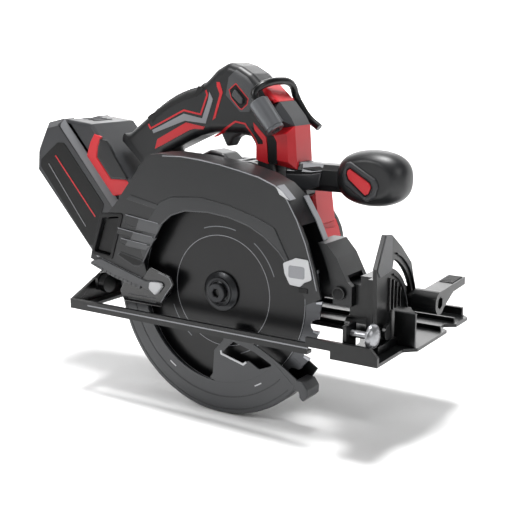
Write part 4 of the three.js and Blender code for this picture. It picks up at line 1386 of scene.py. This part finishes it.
# ---------------------------------------------------------------- the motor and battery
@dataclass
class Motor:
    """The red motor case and its dark cap."""

    dark_above: float = 103.0

    def build(self) -> None:
        """Case, then cap."""
        case = refined("motor_case", "motor_housing", Look.RED, 0.8, 3)
        case.paint(Look.CHARCOAL, lambda centre, normal: centre.z > self.dark_above)
        case.place("saw_body", "motor_housing")
        cap = refined("motor_cap", "motor_end_cap", Look.CHARCOAL, 0.7, 2)
        cap.place("saw_body", "motor_end_cap")
        gear = refined("gear_case", "gearbox_housing", Look.CASTING, 0.6, 2)
        gear.place("saw_body", "gearbox_housing")
        hump = [(-84, 112), (-78, 126), (-66, 131.5), (-52, 129), (-42, 121), (-42, 112)]
        cover = Piece("motor_top_cover").slab(Along.Y, eased(hump, 6), 74, 100, Look.CHARCOAL, 4, 5)
        cover.place("saw_body")
        bar = Piece("vent_bar").slab(Along.Y, eased(box((-2.2, -1.2), (2.2, 1.2)), 0.5), -9, 9, Look.RED,
                                     0.5, 2)
        vents = Piece("gear_vents").take(row_of("vent_bars", bar, 4, Vector((-26, 27, 121.4)),
                                                Vector((12, 0, -1.3)), Look.RED),
                                         Look.RED)
        vents.place("saw_body")


@dataclass
class Battery:
    """The slide-on battery pack and its latch."""

    near: float = PACK_NEAR
    middle: float = HANDLE_MIDDLE
    shell: tuple[Pair, ...] = ((-224, 109), (-222, 128), (-208, 153), (-190, 157), (-152, 153), (-143, 145),
                               (-97, 91.6),
                               (-99, 85), (-155, 33))
    label: tuple[Pair, ...] = ((-214.5, 119.6), (-203, 128.5), (-192.7, 135.8), (-185, 135.8),
                               (-181.7, 132.4),
                               (-139.6, 84.4), (-152, 44.5), (-159, 46), (-215.5, 113))

    def build(self) -> None:
        """Lower case, upper case and latch."""
        near, far = self.near, 2 * self.middle - self.near
        low = Piece("battery_lower")
        shape = [(-224, 109), (-222, 128), (-208, 153), (-190, 157), (-188.5, 156.8), (-113.3, 71.7),
                 (-155, 33)]
        low.slab(Along.Y, eased(shape, 2.5, 3), near, far, Look.LIGHT_CHARCOAL, 5.5, 1)
        room = Piece("latch_room").slab(Along.Y, box((-203, 144.5), (-150, 175)), self.middle - 17,
                                        self.middle + 17,
                                        Look.LIGHT_CHARCOAL, 0, 1)
        low.carve(room)
        # chamfers facing forward and up painted pale, and faces turned upwards painted grey: painted light by
        # which way each face points
        slope = Vector((0.743, 0, 0.669))
        low.paint(Look.CHAMFER, lambda centre, normal: 0.2 < abs(normal.y) < 0.95 and normal.dot(slope) > 0.3)
        low.paint(Look.GREY, lambda centre,
                  normal: 0.2 < abs(normal.y) < 0.95 and normal.z > 0.3 and normal.dot(slope) < 0.6
                  or normal.z > 0.75)
        for plane in (None, self.middle):
            self.side(low, plane)
        low.place("battery", "battery_case_lower", soften=25)
        self.upper()
        self.latch()

    def side(self, low: Piece, plane: float | None) -> None:
        """Panels on one side, or mirrored behind a plane.

        Args:
            low: the lower case's piece.
            plane: what the side is mirrored behind, or None for the near one.
        """
        def y(value: float) -> float:
            """A level, mirrored where the side is the far one."""
            return value if plane is None else 2 * plane - value

        def slab(points: Outline, front: float, back: float, look: Look, rim: float = 0.3) -> None:
            """A panel between two levels of this side."""
            levels = sorted((y(front), y(back)))
            low.slab(Along.Y, points, levels[0], levels[1], look, rim, 2)

        near = self.near
        slab(eased(self.label, 2), near - 0.4, near + 0.5, Look.BLACK, 0.2)
        slab(ribbon([(-196, 124), (-150, 72)], 1.2), near - 0.6, near, Look.RED, 0.1)
        slab(ribbon([(-205, 116), (-162, 62)], 0.7), near - 0.6, near, Look.FACET, 0.1)

    def upper(self) -> None:
        """The narrower part that slides on, with a red band round a dark panel."""
        near, far = self.near + 5, 2 * self.middle - self.near - 5
        made = Piece("battery_upper")
        shape = [(-188.5, 156.8), (-157, 153.5), (-98, 88), (-99, 85), (-113.3, 71.7)]
        made.slab(Along.Y, eased(shape, 1.5), near + 0.3, far - 0.3, Look.LIGHT_CHARCOAL, 3, 3)
        band = [(-110.4, 150.9), (-134.4, 148.5), (-153, 145), (-158, 137.7), (-163.5, 124), (-137, 90.5),
                (-117, 94.5),
                (-113.3, 102), (-117.6, 106.8), (-135, 106.4), (-150.6, 124.8), (-149, 134.6),
                (-145, 142.8), (-133, 144.5)]
        dark = [(-147, 140.8), (-139.5, 140), (-135.6, 135.2), (-130, 126), (-116, 107.8), (-134, 108),
                (-149, 125.5),
                (-147.6, 134.4)]
        band = [(x, z) for x, z in band if 0.743 * x + 0.669 * z < -8]
        for low, high in ((near - 0.5, near + 3), (far - 3, far + 0.5)):
            made.slab(Along.Y, band, low, high, Look.RED, 0.8, 1)
            made.slab(Along.Y, eased(dark, 1), low + 0.2, high - 0.2, Look.CHARCOAL, 0.6, 2)
        made.place("battery", "battery_case_upper")

    def latch(self) -> None:
        """The release button with its raised bars."""
        made = Piece("battery_release_button")
        half = 16.0
        shape = [(-186, 148.5), (-162, 147.2), (-162, 153.5), (-186, 156)]
        made.slab(Along.Y, eased(shape, 1), self.middle - half, self.middle + half, Look.CHARCOAL, 1, 3)
        bar = Piece("latch_bar").slab(Along.Y, eased(box((-1.3, -0.7), (1.3, 0.9)), 0.4), -12, 12,
                                      Look.GREY, 0.4, 2)
        bars = row_of("latch_bars", bar, 3, Vector((-182, self.middle, 155.8)), Vector((6, 0, -0.62)),
                      Look.GREY)
        made.take(bars, Look.GREY)
        made.place("battery_latch", "battery_latch_button")


# ---------------------------------------------------------------- the shoe
@dataclass
class Shoe:
    """The shoe with its bevel and depth fittings."""


    def build(self) -> None:
        """Every fitting, from its CAD shape with rounded edges and added detail."""
        plate = refined("shoe_plate", "shoe", Look.BLACK_STEEL, 0.5, 2)
        # a pale stripe along the near rail, a painted highlight
        plate.slab(Along.Y, box((-120, 4.4), (96, 5.4)), -29.4, -28.6, Look.FACET, 0.2, 1)
        plate.slab(Along.Y, box((141, 2.4), (158, 28.5)), 20.8, 23.2, Look.BLACK_STEEL, 0.4, 2)
        # grey lines on the raised block's top and front edges, painted highlights
        plate.slab(Along.Y, ribbon([(141, 28.5), (158, 28.5), (158, 3)], 0.5), 20.6, 21.2, Look.GREY, 0.1, 1)
        plate.slab(Along.X, box((-10, 2.4), (22, 9)), 141, 143.4, Look.BLACK_STEEL, 0.5, 2)
        plate.place("shoe", "shoe")
        quadrant = refined("bevel_quadrant_plate", "bevel_quadrant", Look.BLACK_STEEL, 0.5, 2)
        light = [(-7.5, 64), (5, 87.5), (15.5, 86.2), (16.5, 60), (-3, 58)]
        quadrant.slab(Along.X, eased(light, 1), 139.5, 140.4, Look.GREY, 0.4, 1)
        for y, top in ((12, 55), (18, 53), (24, 50), (30, 45)):
            quadrant.slab(Along.X, box((y, 30), (y + 1.6, top)), 139.4, 141.4, Look.GLOSS_BLACK, 0.4, 2)
        for reach in (41.5, 57.2):
            sector = [*arc((4, 17), reach, 12, 70, 16), *arc((4, 17), reach + 1.4, 70, 12, 16)]
            quadrant.slab(Along.X, sector, 139.4, 141.0, Look.DARK_STEEL, 0.3, 1)
        quadrant.place("shoe", "bevel_quadrant")
        clamp = refined("fence_clamp_block", "fence_clamp", Look.BLACK_STEEL, 0.5, 2)
        clamp.place("shoe", "fence_clamp")
        screw = refined("fence_clamp_screw", "fence_screw", Look.STEEL, 0.3, 2)
        screw.place("fence_screw", "fence_screw", soften=50)
        bracket = refined("bevel_bracket_block", "bevel_bracket", Look.BLACK_STEEL, 0.6, 2)
        bracket.place("bevel_frame", "bevel_bracket")
        lever = refined("bevel_lever_arm", "bevel_lever", Look.BLACK_STEEL, 0.8, 3)
        rib = Piece("lever_rib").slab(Along.X, eased(box((-1.0, -0.6), (1.0, 0.8)), 0.3), -5.5, 5.5,
                                      Look.BLACK, 0.3, 2)
        lever.take(row_of("lever_ribs", rib, 8, Vector((157, 80, 40.2)), Vector((0, 2.6, 0.12)),
                          Look.BLACK), Look.BLACK)
        lever.place("bevel_lever", "bevel_lever")
        strip = refined("depth_strip", "depth_bracket", Look.BLACK_STEEL, 0.4, 2)
        strip.place("bevel_frame", "depth_bracket")
        grip = refined("depth_lever_grip", "depth_lever", Look.BLACK, 0.9, 3)
        grip.place("depth_lever", "depth_lever")
        low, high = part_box("spindle_lock_button")
        back, front, reach = low.x / MM, high.x / MM, (high.z - low.z) / 2 / MM
        pin, collar = reach * 2 / 3, front - 3
        turned = [(0, back), (pin - 0.5, back), (pin, back + 0.5), (pin, collar), (reach - 0.4, collar),
                  (reach, collar + 0.4), (reach, front - 0.7), (reach - 0.7, front), (0, front)]
        middle = ((low.y + high.y) / 2 / MM - ARBOR.y, (low.z + high.z) / 2 / MM)
        lock = Piece("spindle_lock_cap").turned(Along.X, middle, turned, Look.BLACK, 40)
        lock.place("spindle_lock", "spindle_lock_button")
        bolt = refined("depth_pivot_screw", "depth_pivot_bolt", Look.BLACK_STEEL, 0.4, 2)
        # a black disc on the bolt's head, painted shade standing in for its hole
        bolt.turned(Along.Y, (107, 42), [(0, -4.9), (3.4, -4.9), (4.2, -4.6), (4.2, -4.3), (0, -4.3)],
                    Look.BLACK, 32)
        bolt.place("saw_body", "depth_pivot_bolt")


# ---------------------------------------------------------------- the rest
SLOT_LOOKS = {
    "guard_metal": Look.CASTING, "shoe_metal": Look.BLACK_STEEL, "bright_steel": Look.STEEL,
    "black_steel": Look.BLACK_STEEL, "blade_paint": Look.BLADE, "charcoal_plastic": Look.CHARCOAL,
    "black_plastic": Look.BLACK, "grip_rubber": Look.RUBBER, "red_plastic": Look.RED,
              "silver_paint": Look.PALE,
    "winding_core": Look.COPPER, "board_green": Look.BOARD, "cell_can": Look.WRAP,
}


def dress_cad() -> None:
    """Gives every CAD node that stays a finish of its own slot."""
    for part in frame["record"]["subparts"]:
        node = frame["nodes"].get(part["node"])
        if node is not None and node.name in bpy.data.objects:
            node.data.materials.clear()
            node.data.materials.append(SLOT_LOOKS[part["material_slot"]].value.material())


@dataclass
class Studio:
    """Floor, lights and camera."""

    azimuth: float = 33.4
    elevation: float = 12.0
    lens: float = 67.9
    eye: tuple[float, float, float] = (0.428, -0.67535, 0.2174)

    def build(self) -> None:
        """The stage and the camera."""
        self.floor()
        self.lights()
        self.camera()
        bpy.context.scene.view_settings.view_transform = "Standard"

    def floor(self) -> None:
        """A wide pale floor with a bright backdrop far behind it."""
        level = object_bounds()[0].z
        turn = math.radians(self.azimuth)
        away = Vector((-math.sin(turn), math.cos(turn), 0))
        side = Vector((math.cos(turn), math.sin(turn), 0))
        walls = [(f"backdrop_{side_name}", ((reach, -0.01), (reach, 4.0)), Look.BACKDROP)
                 for side_name, reach in (("far", 2.99), ("near", -2.99))]
        for name, ends, look in (("floor", ((-3.0, 0.0), (3.0, 0.0)), Look.FLOOR), *walls):
            bm = bmesh.new()
            spots = [(d, h, s) for s, order in ((-6, ends), (6, ends[::-1])) for d, h in order]
            bm.faces.new([bm.verts.new(away * d + side * s + Vector((0, 0, level + h))) for d, h, s in spots])
            bmesh.ops.recalc_face_normals(bm, faces=bm.faces[:])
            mesh = bpy.data.meshes.new(name)
            bm.to_mesh(mesh)
            bm.free()
            mesh.materials.append(look.value.material())
            sheet = bpy.data.objects.new(name, mesh)
            sheet.visible_shadow = name == "floor"
            if name == "backdrop_near":  # seen in the views from behind, and adds no light of its own
                sheet.visible_diffuse = sheet.visible_glossy = sheet.visible_transmission = False
            bpy.context.scene.collection.objects.link(sheet)
            sheet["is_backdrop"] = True

    def lights(self) -> None:
        """Large soft lights and a pale world."""
        world = bpy.data.worlds.new("studio")
        world.use_nodes = True
        world.node_tree.nodes["Background"].inputs["Color"].default_value = (1, 1, 1, 1)
        world.node_tree.nodes["Background"].inputs["Strength"].default_value = 0.16
        bpy.context.scene.world = world
        sun = bpy.data.lights.new("sun", "SUN")
        sun.energy = 3.75
        sun.angle = math.radians(16)
        lamp = bpy.data.objects.new("sun", sun)
        lamp.rotation_euler = Vector((-0.05, 0.1, 1.0)).to_track_quat("Z", "Y").to_euler()
        bpy.context.scene.collection.objects.link(lamp)
        lamp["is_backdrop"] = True
        for name, place, size, power in (("key", (-0.5, -1.1, 0.9), 0.4, 7),
                                         ("side", (1.3, -0.3, 0.7), 0.7, 4),
                                         ("top", (0.0, -0.2, 1.4), 0.7, 3),
                                         ("back", (-0.7, 1.2, 0.8), 0.9, 4)):
            data = bpy.data.lights.new(name, "AREA")
            data.size = size
            data.energy = power
            lamp = bpy.data.objects.new(name, data)
            lamp.location = place
            lamp.rotation_euler = (Vector((0, 0, 0.08)) - Vector(place)).to_track_quat("-Z", "Y").to_euler()
            bpy.context.scene.collection.objects.link(lamp)
            lamp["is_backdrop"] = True

    def camera(self) -> None:
        """The camera, level and turned towards the saw's front right."""
        turn, rise = math.radians(self.azimuth), math.radians(self.elevation)
        back = Vector((math.sin(turn) * math.cos(rise), -math.cos(turn) * math.cos(rise), math.sin(rise)))
        right = Vector((math.cos(turn), math.sin(turn), 0))
        up = back.cross(right)
        data = bpy.data.cameras.new("camera")
        data.lens = self.lens
        data.sensor_width = 36.0
        data.clip_start = 0.01
        camera = bpy.data.objects.new("camera", data)
        camera.matrix_world = Matrix((right, up, back)).transposed().to_4x4()
        camera.location = self.eye
        bpy.context.scene.collection.objects.link(camera)
        bpy.context.scene.camera = camera


def main() -> None:
    """Builds the saw's looks, then the studio."""
    logging.basicConfig(level=logging.INFO, format="%(name)s: %(message)s")
    for maker in (Blade, UpperGuard, LowerGuard, Handle, FrontHandle, Hook, Motor, Battery, Shoe):
        LOG.info("building %s", maker.__name__)
        maker().build()
    dress_cad()
    Studio().build()


if __name__ == "__main__":
    main()
